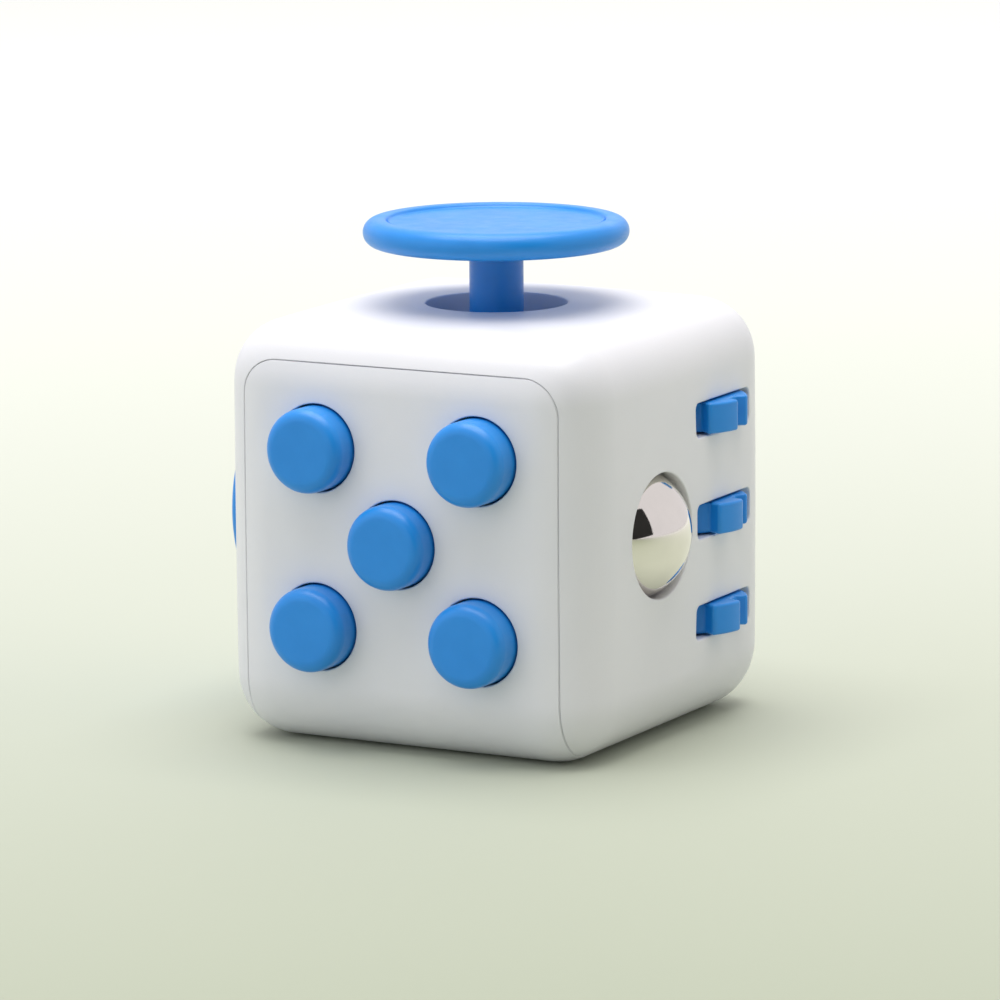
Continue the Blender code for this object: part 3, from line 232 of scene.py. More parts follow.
def smooth(obj, degrees):
    """Smooth shading up to an angle, with large faces deciding the normals next to small ones."""
    only(obj)
    bpy.ops.object.shade_smooth_by_angle(angle=math.radians(degrees))
    even = obj.modifiers.new("even", "WEIGHTED_NORMAL")
    even.keep_sharp = True
    even.weight = 50
    apply(obj, even)


def arc(centre, radius, start, stop, steps):
    """Points of an arc from one angle to another, in degrees, both ends included."""
    turns = [math.radians(start + (stop - start) * i / steps) for i in range(steps + 1)]
    return [(centre[0] + radius * math.cos(t), centre[1] + radius * math.sin(t)) for t in turns]


def rounded_rectangle(width, height, radius, steps=6):
    """Anticlockwise outline about the origin."""
    x = width / 2 - radius
    y = height / 2 - radius
    corners = [((x, y), 0), ((-x, y), 90), ((-x, -y), 180), ((x, -y), 270)]
    return [p for centre, start in corners for p in arc(centre, radius, start, start + 90, steps)]


def turned(name, rings, sides, place):
    """Closed solid of round sections, from its lowest ring to its last."""
    radius, height = rings[0]
    depth = MM
    deselect()
    bpy.ops.mesh.primitive_cylinder_add(vertices=sides, radius=radius, depth=depth,
                                        location=(0, 0, height + depth / 2))
    obj = added(name)
    settle(obj, Matrix.Identity(4))
    bpy.ops.object.mode_set(mode="EDIT")
    bm = bmesh.from_edit_mesh(obj.data)
    for face in bm.faces:
        face.select_set(False)
    max(bm.faces, key=lambda face: face.calc_center_median().z).select_set(True)
    bmesh.update_edit_mesh(obj.data)
    height += depth
    for i, (next_radius, next_height) in enumerate(rings[1:]):
        if i:
            bpy.ops.mesh.extrude_region()
        bpy.ops.transform.translate(value=(0, 0, next_height - height))
        share = next_radius / radius
        bpy.ops.transform.resize(value=(share, share, 1))
        radius = next_radius
        height = next_height
    bpy.ops.object.mode_set(mode="OBJECT")
    return settle(obj, place)


def drum(name, radius, low, high, sides, place):
    """Plain cylinder from low to high along local Z."""
    deselect()
    bpy.ops.mesh.primitive_cylinder_add(vertices=sides, radius=radius, depth=high - low,
                                        location=(0, 0, (low + high) / 2))
    return settle(added(name), place)


def plate(name, outline, low, high, place):
    """Flat outline made solid from low to high along local Z."""
    curve = bpy.data.curves.new(name, "CURVE")
    curve.dimensions = "2D"
    curve.fill_mode = "BOTH"
    curve.extrude = (high - low) / 2
    spline = curve.splines.new("POLY")
    spline.points.add(len(outline) - 1)
    for point, (x, y) in zip(spline.points, outline):
        point.co = (x, y, 0, 1)
    spline.use_cyclic_u = True
    obj = from_curve(name, curve)
    bpy.ops.object.mode_set(mode="EDIT")
    bpy.ops.mesh.select_all(action="SELECT")
    bpy.ops.mesh.remove_doubles(threshold=SAME_POINT)
    bpy.ops.mesh.normals_make_consistent(inside=False)
    bpy.ops.object.mode_set(mode="OBJECT")
    return settle(obj, place @ Matrix.Translation((0, 0, (low + high) / 2)))


def soften(obj, width, sharpness, on_skin):
    """Round the edges sharper than an angle in degrees whose ends lie where on_skin says."""
    only(obj)
    bpy.ops.object.mode_set(mode="EDIT")
    bm = bmesh.from_edit_mesh(obj.data)
    bmesh.ops.remove_doubles(bm, verts=bm.verts, dist=CLOSE_POINT)
    bmesh.ops.dissolve_degenerate(bm, dist=CRUMB, edges=bm.edges)
    for edge in bm.edges:
        sharp = len(edge.link_faces) == 2 and edge.calc_face_angle() > math.radians(sharpness)
        edge.select_set(False)
        edge.tag = sharp and all(on_skin(vertex.co) for vertex in edge.verts)
    for edge in bm.edges:
        if edge.tag:
            edge.select_set(True)
    bmesh.update_edit_mesh(obj.data)
    bpy.ops.mesh.bevel(offset=width, segments=3, affect="EDGES", clamp_overlap=False)
    bpy.ops.object.mode_set(mode="OBJECT")


def done(obj, body, slot, surface, *nodes):
    """Give a finished piece its material and its body, and hide the nodes that it stands for; the
    slot is not used.
    """
    obj.data.materials.clear()
    obj.data.materials.append(surface)
    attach(obj, body)
    if nodes:
        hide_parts(*nodes)


# ---------------------------------------------------------------- finishes
BLACK = (0, 0, 0)
WHITE = (1, 1, 1)


class Nodes:
    """Adds nodes to one material and links them."""

    def __init__(self, name):
        self.material = bpy.data.materials.new(name)
        self.material.use_nodes = True
        self.tree = self.material.node_tree
        self.shader = self.tree.nodes["Principled BSDF"]
        self.place = self.tree.nodes.new("ShaderNodeTexCoord").outputs["Object"]

    def link(self, source, node, socket):
        self.tree.links.new(source, node.inputs[socket])

    def noise(self, scale, detail, stretch=None, rough=0.5):
        texture = self.tree.nodes.new("ShaderNodeTexNoise")
        texture.inputs["Scale"].default_value = scale
        texture.inputs["Detail"].default_value = detail
        texture.inputs["Roughness"].default_value = rough
        place = self.place
        if stretch:
            mapping = self.tree.nodes.new("ShaderNodeMapping")
            mapping.inputs["Scale"].default_value = stretch
            self.link(place, mapping, "Vector")
            place = mapping.outputs["Vector"]
        self.link(place, texture, "Vector")
        return texture.outputs["Fac"]

    def spread(self, value, low, high, to_low, to_high):
        """Value brought from one range to another and kept inside it."""
        step = self.tree.nodes.new("ShaderNodeMapRange")
        for socket, number in (("From Min", low), ("From Max", high), ("To Min", to_low),
                               ("To Max", to_high)):
            step.inputs[socket].default_value = number
        self.link(value, step, "Value")
        return step.outputs["Result"]

    def math(self, operation, first, second):
        step = self.tree.nodes.new("ShaderNodeMath")
        step.operation = operation
        for index, value in enumerate((first, second)):
            if isinstance(value, (int, float)):
                step.inputs[index].default_value = value
            else:
                self.tree.links.new(value, step.inputs[index])
        return step.outputs["Value"]

    def blend(self, share, first, second):
        step = self.tree.nodes.new("ShaderNodeMix")
        step.data_type = "RGBA"
        self.tree.links.new(share, step.inputs["Factor"])
        step.inputs["A"].default_value = (*first, 1)
        step.inputs["B"].default_value = (*second, 1)
        return step.outputs["Result"]

    def bump(self, height, depth, below=None):
        """Relief of a depth in metres, laid over another relief if one is given."""
        step = self.tree.nodes.new("ShaderNodeBump")
        step.inputs["Distance"].default_value = depth
        step.inputs["Strength"].default_value = 1.0
        self.link(height, step, "Height")
        if below is not None:
            self.link(below, step, "Normal")
        return step.outputs["Normal"]

    def body_edges(self, half, core):
        """1 on the rounded edges and corners of the cube, 0 on its faces."""
        centre = self.tree.nodes.new("ShaderNodeVectorMath")
        centre.operation = "SUBTRACT"
        centre.inputs[1].default_value = CENTRE
        self.link(self.place, centre, 0)
        apart = self.tree.nodes.new("ShaderNodeSeparateXYZ")
        self.link(centre.outputs["Vector"], apart, 0)
        over = []
        for axis in "XYZ":
            distance = self.math("ABSOLUTE", apart.outputs[axis], 0)
            over.append(self.spread(distance, core, half, 0, 1))
        pairs = [self.math("MULTIPLY", over[i], over[(i + 1) % 3]) for i in range(3)]
        total = self.math("ADD", self.math("ADD", pairs[0], pairs[1]), pairs[2])
        return self.spread(total, 0.1, 0.45, 0, 1)


def mixed(colour, other, share):
    return tuple(a + (b - a) * share for a, b in zip(colour, other))


def shell_plastic(name, base, sizes):
    """Satin white plastic: fine moulded grain, faint mottling, and edges polished by handling."""
    nodes = Nodes(name)
    shader = nodes.shader
    mottle = nodes.spread(nodes.noise(90, 4), 0.35, 0.65, 0, 1)
    greyish = mixed(base, (0.70, 0.73, 0.78), 0.10)
    nodes.link(nodes.blend(mottle, greyish, mixed(base, WHITE, 0.06)), shader, "Base Color")
    handled = nodes.body_edges(HALF, HALF - sizes.edge)
    patches = nodes.spread(nodes.noise(260, 5), 0.3, 0.7, -0.05, 0.06)
    polish = nodes.math("MULTIPLY", handled, -0.07)
    rough = nodes.math("ADD", nodes.math("ADD", patches, 0.40), polish)
    nodes.link(rough, shader, "Roughness")
    grain = nodes.bump(nodes.noise(9000, 2), 0.006 * MM)
    wave = nodes.bump(nodes.noise(140, 2), 0.03 * MM, grain)
    nodes.link(wave, shader, "Normal")
    shader.inputs["Subsurface Weight"].default_value = 0.08
    shader.inputs["Subsurface Radius"].default_value = (1.0, 0.9, 0.8)
    shader.inputs["Subsurface Scale"].default_value = 0.8 * MM
    shader.inputs["IOR"].default_value = 1.5
    return nodes.material


def control_plastic(name, base):
    """Blue plastic with a soft sheen, a light bloom in its colour, and hairline rubs."""
    nodes = Nodes(name)
    shader = nodes.shader
    bloom = nodes.spread(nodes.noise(320, 5), 0.3, 0.7, 0, 1)
    brighter = mixed(base, (0.06, 0.36, 0.85), 0.10)
    nodes.link(nodes.blend(bloom, mixed(base, BLACK, 0.06), brighter), shader, "Base Color")
    rubs = nodes.spread(nodes.noise(700, 6, (1, 1, 7), 0.6), 0.35, 0.7, -0.03, 0.07)
    nodes.link(nodes.math("ADD", rubs, 0.34), shader, "Roughness")
    grain = nodes.bump(nodes.noise(11000, 2), 0.005 * MM)
    nodes.link(nodes.bump(nodes.noise(300, 1), 0.005 * MM, grain), shader, "Normal")
    shader.inputs["Subsurface Weight"].default_value = 0.06
    shader.inputs["Subsurface Radius"].default_value = (0.3, 0.6, 1.0)
    shader.inputs["Subsurface Scale"].default_value = 0.6 * MM
    shader.inputs["IOR"].default_value = 1.5
    return nodes.material


def polished_steel(name, base):
    """Mirror-bright ball with a faint haze of fine swirl marks."""
    nodes = Nodes(name)
    shader = nodes.shader
    shader.inputs["Metallic"].default_value = 1.0
    haze = nodes.spread(nodes.noise(500, 6), 0.35, 0.7, 0, 1)
    nodes.link(nodes.blend(haze, base, mixed(base, (0.60, 0.58, 0.55), 0.15)), shader, "Base Color")
    nodes.link(nodes.spread(haze, 0, 1, 0.025, 0.075), shader, "Roughness")
    swirl = nodes.noise(2600, 4, (1, 9, 1))
    nodes.link(nodes.bump(swirl, 0.0006 * MM), shader, "Normal")
    return nodes.material


def frame_plastic(name, base):
    """Unseen frame plastic: coarser grain and flow marks."""
    nodes = Nodes(name)
    flow = nodes.spread(nodes.noise(200, 4, (1, 3, 1)), 0.3, 0.7, 0, 1)
    nodes.link(nodes.blend(flow, mixed(base, BLACK, 0.12), mixed(base, WHITE, 0.06)),
               nodes.shader, "Base Color")
    nodes.link(nodes.spread(flow, 0, 1, 0.46, 0.60), nodes.shader, "Roughness")
    nodes.link(nodes.bump(nodes.noise(6000, 2), 0.01 * MM), nodes.shader, "Normal")
    return nodes.material


def spring_steel(name, base):
    """Drawn steel with fine lines along its length."""
    nodes = Nodes(name)
    nodes.shader.inputs["Metallic"].default_value = 1.0
    lines = nodes.spread(nodes.noise(3000, 4, (1, 1, 12)), 0.3, 0.7, 0, 1)
    nodes.link(nodes.blend(lines, mixed(base, BLACK, 0.15), base), nodes.shader, "Base Color")
    nodes.link(nodes.spread(lines, 0, 1, 0.22, 0.38), nodes.shader, "Roughness")
    nodes.link(nodes.bump(lines, 0.002 * MM), nodes.shader, "Normal")
    return nodes.material


def silicone(name, base):
    """Milky silicone with a dusty surface."""
    nodes = Nodes(name)
    dust = nodes.spread(nodes.noise(900, 4), 0.3, 0.7, 0, 1)
    nodes.link(nodes.blend(dust, base, mixed(base, WHITE, 0.15)), nodes.shader, "Base Color")
    nodes.link(nodes.spread(dust, 0, 1, 0.6, 0.75), nodes.shader, "Roughness")
    nodes.link(nodes.bump(nodes.noise(5000, 2), 0.004 * MM), nodes.shader, "Normal")
    nodes.shader.inputs["Subsurface Weight"].default_value = 0.3
    nodes.shader.inputs["Subsurface Scale"].default_value = 1.0 * MM
    return nodes.material


def surface(name):
    """The named finish, made when it is first asked for."""
    found = bpy.data.materials.get("finish_" + name)
    if found:
        return found
    colours = bpy.context.scene.cube_colours
    sizes = bpy.context.scene.cube_sizes
    makers = {
        "white_shell": lambda title: shell_plastic(title, tuple(colours.shell), sizes),
        "blue_control": lambda title: control_plastic(title, tuple(colours.control)),
        "polished_ball": lambda title: polished_steel(title, tuple(colours.ball)),
        "grey_frame": lambda title: frame_plastic(title, tuple(colours.inner)),
        "spring_steel": lambda title: spring_steel(title, tuple(colours.spring)),
        "silicone": lambda title: silicone(title, tuple(colours.rubber)),
    }
    return makers[name]("finish_" + name)


# ---------------------------------------------------------------- body shells
CROWN_POWER = 8          # how quickly the crown fades from a face to the cube's middle
UNDER_STEPS = 160        # points of the seam along each side of the underside
DIAL_HUB = 2.6 * MM
SLOT_CORNER_SHARE = 0.2  # corner radius of a wheel's slot, as a share of its height
ROCKER_RADIUS = 7.0 * MM
ROCKER_MOUTH_CORNER = 0.2 * MM


def rounded_block(name, half, radius, crown, arc_steps, flat_steps, floor=0.0):
    """Rounded cube with a flat underside and other faces that fall away by crown towards their
    edges; what would lie below floor is brought up to it."""
    steps = 2 * arc_steps + flat_steps
    core = half - radius
    deselect()
    bpy.ops.mesh.primitive_cube_add(size=2)
    obj = added(name)
    bpy.ops.object.mode_set(mode="EDIT")
    bpy.ops.mesh.subdivide(number_cuts=steps - 1)
    bpy.ops.object.mode_set(mode="OBJECT")

    def station(share):
        index = round((share + 1) / 2 * steps)
        inward = min(index, steps - index)
        if inward < arc_steps:
            angle = math.radians(45) * (arc_steps - inward) / arc_steps
            return math.copysign(core + radius * math.tan(angle), share)
        return core * (2 * (index - arc_steps) / flat_steps - 1)

    def swell(point, axis):
        others = [point[i] / half for i in range(3) if i != axis]
        fall = 1 - (1 - others[0] ** 2) * (1 - others[1] ** 2)
        return math.copysign(crown * fall * (abs(point[axis]) / half) ** CROWN_POWER, point[axis])

    for vertex in obj.data.vertices:
        point = Vector([station(share) for share in vertex.co])
        nearest = Vector([max(-core, min(core, share)) for share in point])
        if point != nearest:
            point = nearest + (point - nearest).normalized() * radius
        fall = Vector([swell(point, axis) for axis in range(3)])
        if point.z < 0:
            fall.z = 0
        vertex.co = point - fall + CENTRE
        vertex.co.z = max(vertex.co.z, floor)
    return obj


def strap_outline(sizes, grow):
    """The strap seen from the front, from the lower right over its top to the lower left."""
    x = sizes.strap_half + grow
    top = sizes.strap_top + grow
    radius = sizes.strap_corner + grow
    return ([(x, -HALF)] + arc((x - radius, top - radius), radius, 0, 90, 16)
            + arc((-x + radius, top - radius), radius, 90, 180, 16) + [(-x, -HALF)])


def strap_prism(name, sizes, grow):
    """The strap's outline as a solid that runs through the cube and out below it."""
    outline = strap_outline(sizes, grow)
    outline[0] = (outline[0][0], -SIDE)
    outline[-1] = (outline[-1][0], -SIDE)
    return plate(name, outline, -SIDE - MM, MM, FRONT)


def seam_groove(name, sizes):
    """Thin round tube along the whole seam, half of it in each shell."""
    body = rounded_block(name + "_body", HALF, sizes.edge, sizes.crown, 12, 16)

    def hit(start, way):
        found, spot, _, _ = body.ray_cast(start, way)
        if not found:
            raise RuntimeError("the seam misses the body")
        return spot

    outline = strap_outline(sizes, sizes.seam / 2)[1:-1]
    far = 2 * SIDE
    x = outline[0][0]
    front = [hit(Vector((px, -far, HALF + pz)), Vector((0, 1, 0))) for px, pz in outline]
    back = [hit(Vector((px, far, HALF + pz)), Vector((0, -1, 0))) for px, pz in reversed(outline)]

    def under(side, start, stop):
        """Where the side's plane cuts the body, turning about the body's middle line."""
        spots = []
        for i in range(1, UNDER_STEPS):
            angle = math.radians(start + (stop - start) * i / UNDER_STEPS)
            way = Vector((0, math.cos(angle), math.sin(angle)))
            spots.append(hit(Vector((side * x, 0, HALF)) + way * far, -way))
        return spots

    rise = math.degrees(math.atan2(outline[0][1], HALF - sizes.edge / 6))
    loop = front + under(-1, 180 - rise, 360 + rise) + back + under(1, rise, -180 - rise)
    bpy.data.objects.remove(body, do_unlink=True)
    curve = bpy.data.curves.new(name, "CURVE")
    curve.dimensions = "3D"
    curve.bevel_depth = sizes.groove
    curve.bevel_resolution = 2
    spline = curve.splines.new("POLY")
    spline.points.add(len(loop) - 1)
    for point, spot in zip(spline.points, loop):
        point.co = (*spot, 1)
    spline.use_cyclic_u = True
    return from_curve(name, curve)


def lofted(name, sections, place):
    """Closed solid through outlines of equal length, each (points, height), in local XY."""
    mesh = bpy.data.meshes.new(name)
    bm = bmesh.new()
    loops = [[bm.verts.new((x, y, height)) for x, y in points] for points, height in sections]
    count = len(loops[0])
    for below, above in zip(loops, loops[1:]):
        for i in range(count):
            j = (i + 1) % count
            bm.faces.new((below[i], below[j], above[j], above[i]))
    bm.faces.new(reversed(loops[0]))
    bm.faces.new(loops[-1])
    bm.to_mesh(mesh)
    bm.free()
    return settle(linked(name, mesh), place)


def opening(name, outline, face, at, sizes, flare=0.0):
    """Cutter through a wall whose mouth is rounded and follows the crown of the face; its inner end
    is wider by flare."""
    lip = sizes.lip
    sections = [(outline(flare), -sizes.wall - MM), (outline(0), -4 * lip)]
    for out, height in arc((lip, -lip), lip, 180, 90, 5):
        sections.append((outline(out), height))
    sections.append((outline(lip), MM))
    moved = [([(x + at[0], y + at[1]) for x, y in points], height) for points, height in sections]
    cutter = lofted(name, moved, Matrix.Identity(4))
    for vertex in cutter.data.vertices:
        if vertex.co.z > -3 * lip:
            across = (vertex.co.x / HALF) ** 2
            along = (vertex.co.y / HALF) ** 2
            vertex.co.z -= sizes.crown * (1 - (1 - across) * (1 - along))
    return settle(cutter, face)


def round_mouth(radius, steps=96):
    """Outline of a round hole, as a function of how much it is widened."""
    return lambda grow: arc((0, 0), radius + grow, 0, 360 * (1 - 1 / steps), steps - 1)


def slot_mouth(width, height, radius):
    """Outline of a slot with rounded corners, as a function of how much it is widened."""
    return lambda grow: rounded_rectangle(width + 2 * grow, height + 2 * grow, radius + grow)


def hollow(name, sizes, floor=0.0):
    """The body as an empty shell, its underside as thick as floor or the wall, if that is more."""
    body = rounded_block(name, HALF, sizes.edge, sizes.crown, 8, 14)
    space = rounded_block(name + "_space", HALF - sizes.wall, sizes.edge - sizes.wall, 0, 4, 2,
                          max(floor, sizes.wall))
    return carve(body, space)


def make_side_top_shell(sizes):
    """Left, top and right faces in one, with the openings for joystick, ball, wheels and dial."""
    shell = hollow("side_top_cover", sizes)
    carve(shell, strap_prism("strap_space", sizes, sizes.seam))
    carve(shell, seam_groove("groove", sizes))
    carve(shell, opening("stick_hole", round_mouth(sizes.stick_hole), TOP, (0, 0), sizes))
    carve(shell, opening("ball_hole", round_mouth(sizes.ball_hole), RIGHT,
                         (BALL.y, BALL.z - HALF), sizes, sizes.ball_flare))
    for node in WHEELS:
        depth = HALF - AXLE.x - sizes.wall
        reach = 2 * (math.sqrt(sizes.wheel ** 2 - depth ** 2) + sizes.gap)
        height = span(node).z + 2 * sizes.gap
        mouth = slot_mouth(reach, height, height * SLOT_CORNER_SHARE)
        carve(shell, opening(node + "_slot", mouth, RIGHT, (AXLE.y, middle(node).z - HALF), sizes))
    carve(shell, opening("dial_hole", round_mouth(DIAL_HUB + sizes.gap, 48), LEFT, (0, 0), sizes))
    smooth(shell, 30)
    done(shell, "cube_body", "white_shell", surface("white_shell"), "side_top_shell")


def make_strap_shell(sizes):
    """Front, underside and back in one, with the openings for buttons and rocker and the dish."""
    shell = hollow("strap_cover", sizes, sizes.dish_floor)
    carve(shell, strap_prism("strap_limit", sizes, 0), "INTERSECT")
    carve(shell, seam_groove("groove", sizes))
    for node in BUTTONS:
        at = middle(node)
        mouth = round_mouth(sizes.button + sizes.gap, 72)
        carve(shell, opening(node + "_hole", mouth, FRONT, (at.x, at.z - HALF), sizes))
    width = span("flip_rocker").x + 2 * sizes.gap
    radius = ROCKER_RADIUS + sizes.gap
    carve(shell, drum("rocker_space", radius, -width / 2, width / 2, 128,
                      Matrix.Translation(PIN) @ turn(0, 90, 0)))
    height = 2 * math.sqrt(radius ** 2 - (HALF - PIN.y) ** 2)
    mouth = slot_mouth(width, height, ROCKER_MOUTH_CORNER)
    carve(shell, opening("rocker_mouth", mouth, BACK, (0, 0), sizes))
    carve(shell, dish_cutter(sizes))
    smooth(shell, 30)
    done(shell, "cube_body", "white_shell", surface("white_shell"), "front_base_back_shell")


def dish_cutter(sizes):
    """Flattened ball that hollows the underside."""
    radius = (sizes.dish_depth ** 2 + (sizes.dish_length / 2) ** 2) / (2 * sizes.dish_depth)
    deselect()
    bpy.ops.mesh.primitive_uv_sphere_add(segments=96, ring_count=160, radius=radius,
                                         location=(0, 0, sizes.dish_depth - radius))
    cutter = added("dish_cutter")
    cutter.scale.y = sizes.dish_width / sizes.dish_length
    return settle(cutter, Matrix.Identity(4))


# ---------------------------------------------------------------- buttons
FLANGE_CLEARANCE = 0.25 * MM
FLANGE_SOFT = 0.2 * MM


def make_buttons(sizes):
    """Five caps, each with its flange and plunger."""
    for node in BUTTONS:
        low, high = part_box(node)
        proud = -HALF - low.y
        back = -HALF - high.y
        edge = sizes.button_edge
        lip = (high.x - low.x) / 2
        flange_top = -(sizes.wall + FLANGE_CLEARANCE)
        flange_low = flange_top - sizes.flange
        soft = FLANGE_SOFT
        rings = [(sizes.plunger, back), (sizes.plunger, flange_low), (lip - soft, flange_low),
                 (lip, flange_low + soft), (lip, flange_top - soft), (lip - soft, flange_top),
                 (sizes.button, flange_top)]
        rings += arc((sizes.button - edge, proud - edge), edge, 0, 90, 12)
        face = sizes.button - edge
        rings += [(face * share, proud) for share in (0.8, 0.5, 0.2, TINY)]
        at = middle(node)
        cap = turned(node + "_cap", rings, 72, FRONT @ Matrix.Translation((at.x, at.z - HALF, 0)))
        smooth(cap, 40)
        done(cap, node, "blue_control", surface("blue_control"), node)


# ---------------------------------------------------------------- joystick
COLLAR = 1.2 * MM          # how far the disc's flat underside reaches past the stem
BEAD_SOFT = 0.35 * MM
SKIRT_THICKNESS = 0.9 * MM
SKIRT_REACH = 58           # degrees from the stem down to the skirt's edge
WAIST = 1.6 * MM
FOOT_RADIUS = 2.0 * MM
FOOT_SIDE = 0.7 * MM
FOOT_HEIGHT = 0.9 * MM
SPIGOT = 1.2 * MM          # radius of the neck above the foot, and of the end inside the disc
HUB = 2.35 * MM
STEM_FILLET = 0.7 * MM
DISC_CLEARANCE = 0.02 * MM
TRUNNION = 0.7 * MM
TRUNNION_REACH = 3.74 * MM


def make_disc(sizes):
    """Thumb disc with a raised rim round its dished face."""
    low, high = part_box("joystick_disc")
    radius = (high.x - low.x) / 2
    edge = (high.z - low.z) / 2
    floor = high.z - sizes.recess
    rings = [(TINY * MM, low.z), (sizes.stem + COLLAR, low.z)]
    rings += arc((radius - edge, low.z + edge), edge, -90, 90, 20)
    lip = radius - sizes.bead
    soft = BEAD_SOFT
    rings += arc((lip + soft, high.z - soft), soft, 90, 155, 6)
    rings += arc((lip - soft, floor + soft), soft, -25, -90, 6)
    rings += [(lip * share, floor) for share in (0.8, 0.5, 0.2, 0.005)]
    disc = turned("joystick_dish", rings, 128, Matrix.Identity(4))
    smooth(disc, 40)
    done(disc, "joystick", "blue_control", surface("blue_control"), "joystick_disc")


def skirt_arc(radius, start, stop, steps):
    """Rings round the gimbal's middle, from one angle off the vertical to another."""
    rings = []
    for i in range(steps + 1):
        angle = math.radians(start + (stop - start) * i / steps)
        rings.append((radius * math.sin(angle), radius * math.cos(angle)))
    return rings


def make_stem(sizes):
    """Stem with its foot, hub and dust skirt, as one moulding."""
    low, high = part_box("joystick_stem")
    foot_low = low.z - GIMBAL.z
    foot = [(FOOT_RADIUS, foot_low), (FOOT_RADIUS, foot_low + FOOT_SIDE),
            (SPIGOT, foot_low + FOOT_HEIGHT)]
    hub = arc((0, 0), HUB, -50, 47, 12)
    outer = sizes.skirt
    inside = outer - SKIRT_THICKNESS
    join = math.degrees(math.asin(sizes.stem / outer))
    inner_join = math.degrees(math.asin(WAIST / inside))
    under = skirt_arc(inside, inner_join, SKIRT_REACH, 16)
    over = skirt_arc(outer, SKIRT_REACH, join, 24)
    neck_low = over[-1][1]
    neck = arc((sizes.stem + STEM_FILLET, neck_low + STEM_FILLET), STEM_FILLET, 250, 180, 8)
    top = high.z - GIMBAL.z
    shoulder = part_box("joystick_disc")[0].z - GIMBAL.z - DISC_CLEARANCE
    rings = foot + hub + under + [ring for ring in over if ring[0] > neck[0][0]] + neck
    rings += [(sizes.stem, shoulder), (SPIGOT, shoulder), (SPIGOT, top)]
    stem = turned("joystick_post", rings, 96, Matrix.Translation(GIMBAL))
    pin = drum("stem_trunnions", TRUNNION, -TRUNNION_REACH, TRUNNION_REACH, 32,
               Matrix.Translation(GIMBAL) @ turn(90, 0, 0))
    carve(stem, pin, "UNION")
    smooth(stem, 40)
    done(stem, "joystick", "blue_control", surface("blue_control"), "joystick_stem")


# ---------------------------------------------------------------- ball
def make_ball():
    """Ball of even facets, made from a cube's grid."""
    radius = span("steel_ball").x / 2
    deselect()
    bpy.ops.mesh.primitive_cube_add(size=2 * radius)
    ball = added("polished_ball")
    bpy.ops.object.mode_set(mode="EDIT")
    bpy.ops.mesh.select_all(action="SELECT")
    bpy.ops.mesh.subdivide(number_cuts=31)
    bpy.ops.transform.tosphere(value=1.0)
    bpy.ops.object.mode_set(mode="OBJECT")
    for vertex in ball.data.vertices:
        vertex.co = vertex.co.normalized() * radius
    settle(ball, Matrix.Translation(BALL))
    only(ball)
    bpy.ops.object.shade_smooth()
    done(ball, "ball", "polished_ball", surface("polished_ball"), "steel_ball")


# ---------------------------------------------------------------- toothed wheels
TEETH = 6
TOOTH_SHARE = 0.6        # a tooth's share of its pitch
ROOT_SHARE = 0.8         # the root's share of the gap between two teeth
SHARP_EDGE = 25          # degrees past which a wheel's edge is rounded
WHEEL_TURNS = {"toothed_wheel_top": -22, "toothed_wheel_middle": -12, "toothed_wheel_bottom": -18}


def wheel_outline(radius, root, start):
    """Anticlockwise outline with a tooth at the angle start."""
    pitch = 360 / TEETH
    tip = pitch * TOOTH_SHARE
    gap = (pitch - tip) * ROOT_SHARE
    outline = []
    for tooth in range(TEETH):
        at = tooth * pitch + start
        outline += arc((0, 0), radius, at - tip / 2, at + tip / 2, 8)
        outline += arc((0, 0), root, at + pitch / 2 - gap / 2, at + pitch / 2 + gap / 2, 4)
    return outline


def make_wheels(sizes):
    """Three toothed wheels on one axle, each turned a little differently."""
    for node in WHEELS:
        low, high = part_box(node)
        radius = sizes.wheel
        outline = wheel_outline(radius, radius - sizes.tooth, WHEEL_TURNS[node])
        half = (high.z - low.z) / 2
        at = Vector((AXLE.x, AXLE.y, (low.z + high.z) / 2))
        wheel = plate(node + "_wheel", outline, -half, half, Matrix.Translation(at))
        bore = drum("bore", sizes.axle, -2 * half, 2 * half, 32, Matrix.Translation(at))
        carve(wheel, bore)
        soften(wheel, sizes.wheel_edge, SHARP_EDGE, lambda point: (point - at).xy.length > MM)
        smooth(wheel, 35)
        done(wheel, wheel_body(node), "blue_control", surface("blue_control"), node)


def wheel_body(node):
    return node.replace("toothed_wheel", "wheel")


# ---------------------------------------------------------------- dial
DIAL_SHOULDER = 0.3 * MM
DIAL_SOFT = 0.2 * MM


def dimple_cutter(sizes, radius, proud):
    """Bowl whose brim flares softly into the dial's face."""
    depth = sizes.dimple_depth
    brim = sizes.dimple_brim
    sphere = (depth ** 2 + sizes.dimple ** 2) / (2 * depth)
    sweep = math.asin(sizes.dimple / sphere)
    steps = 16
    rings = []
    for i in range(steps + 1):
        angle = sweep * max(i, 0.05) / steps
        rings.append((sphere * math.sin(angle), sphere * (1 - math.cos(angle)) - depth - brim / 2))
    for degrees in (20, 40, 60, 80, 90):
        angle = math.radians(degrees)
        rings.append((sizes.dimple + brim * math.sin(angle), -brim / 2 * math.cos(angle)))
    rings.append((sizes.dimple + brim, MM))
    offset = radius - sizes.dimple - sizes.dimple_margin
    return turned("dimple", rings, 96, LEFT @ Matrix.Translation((0, offset, proud)))


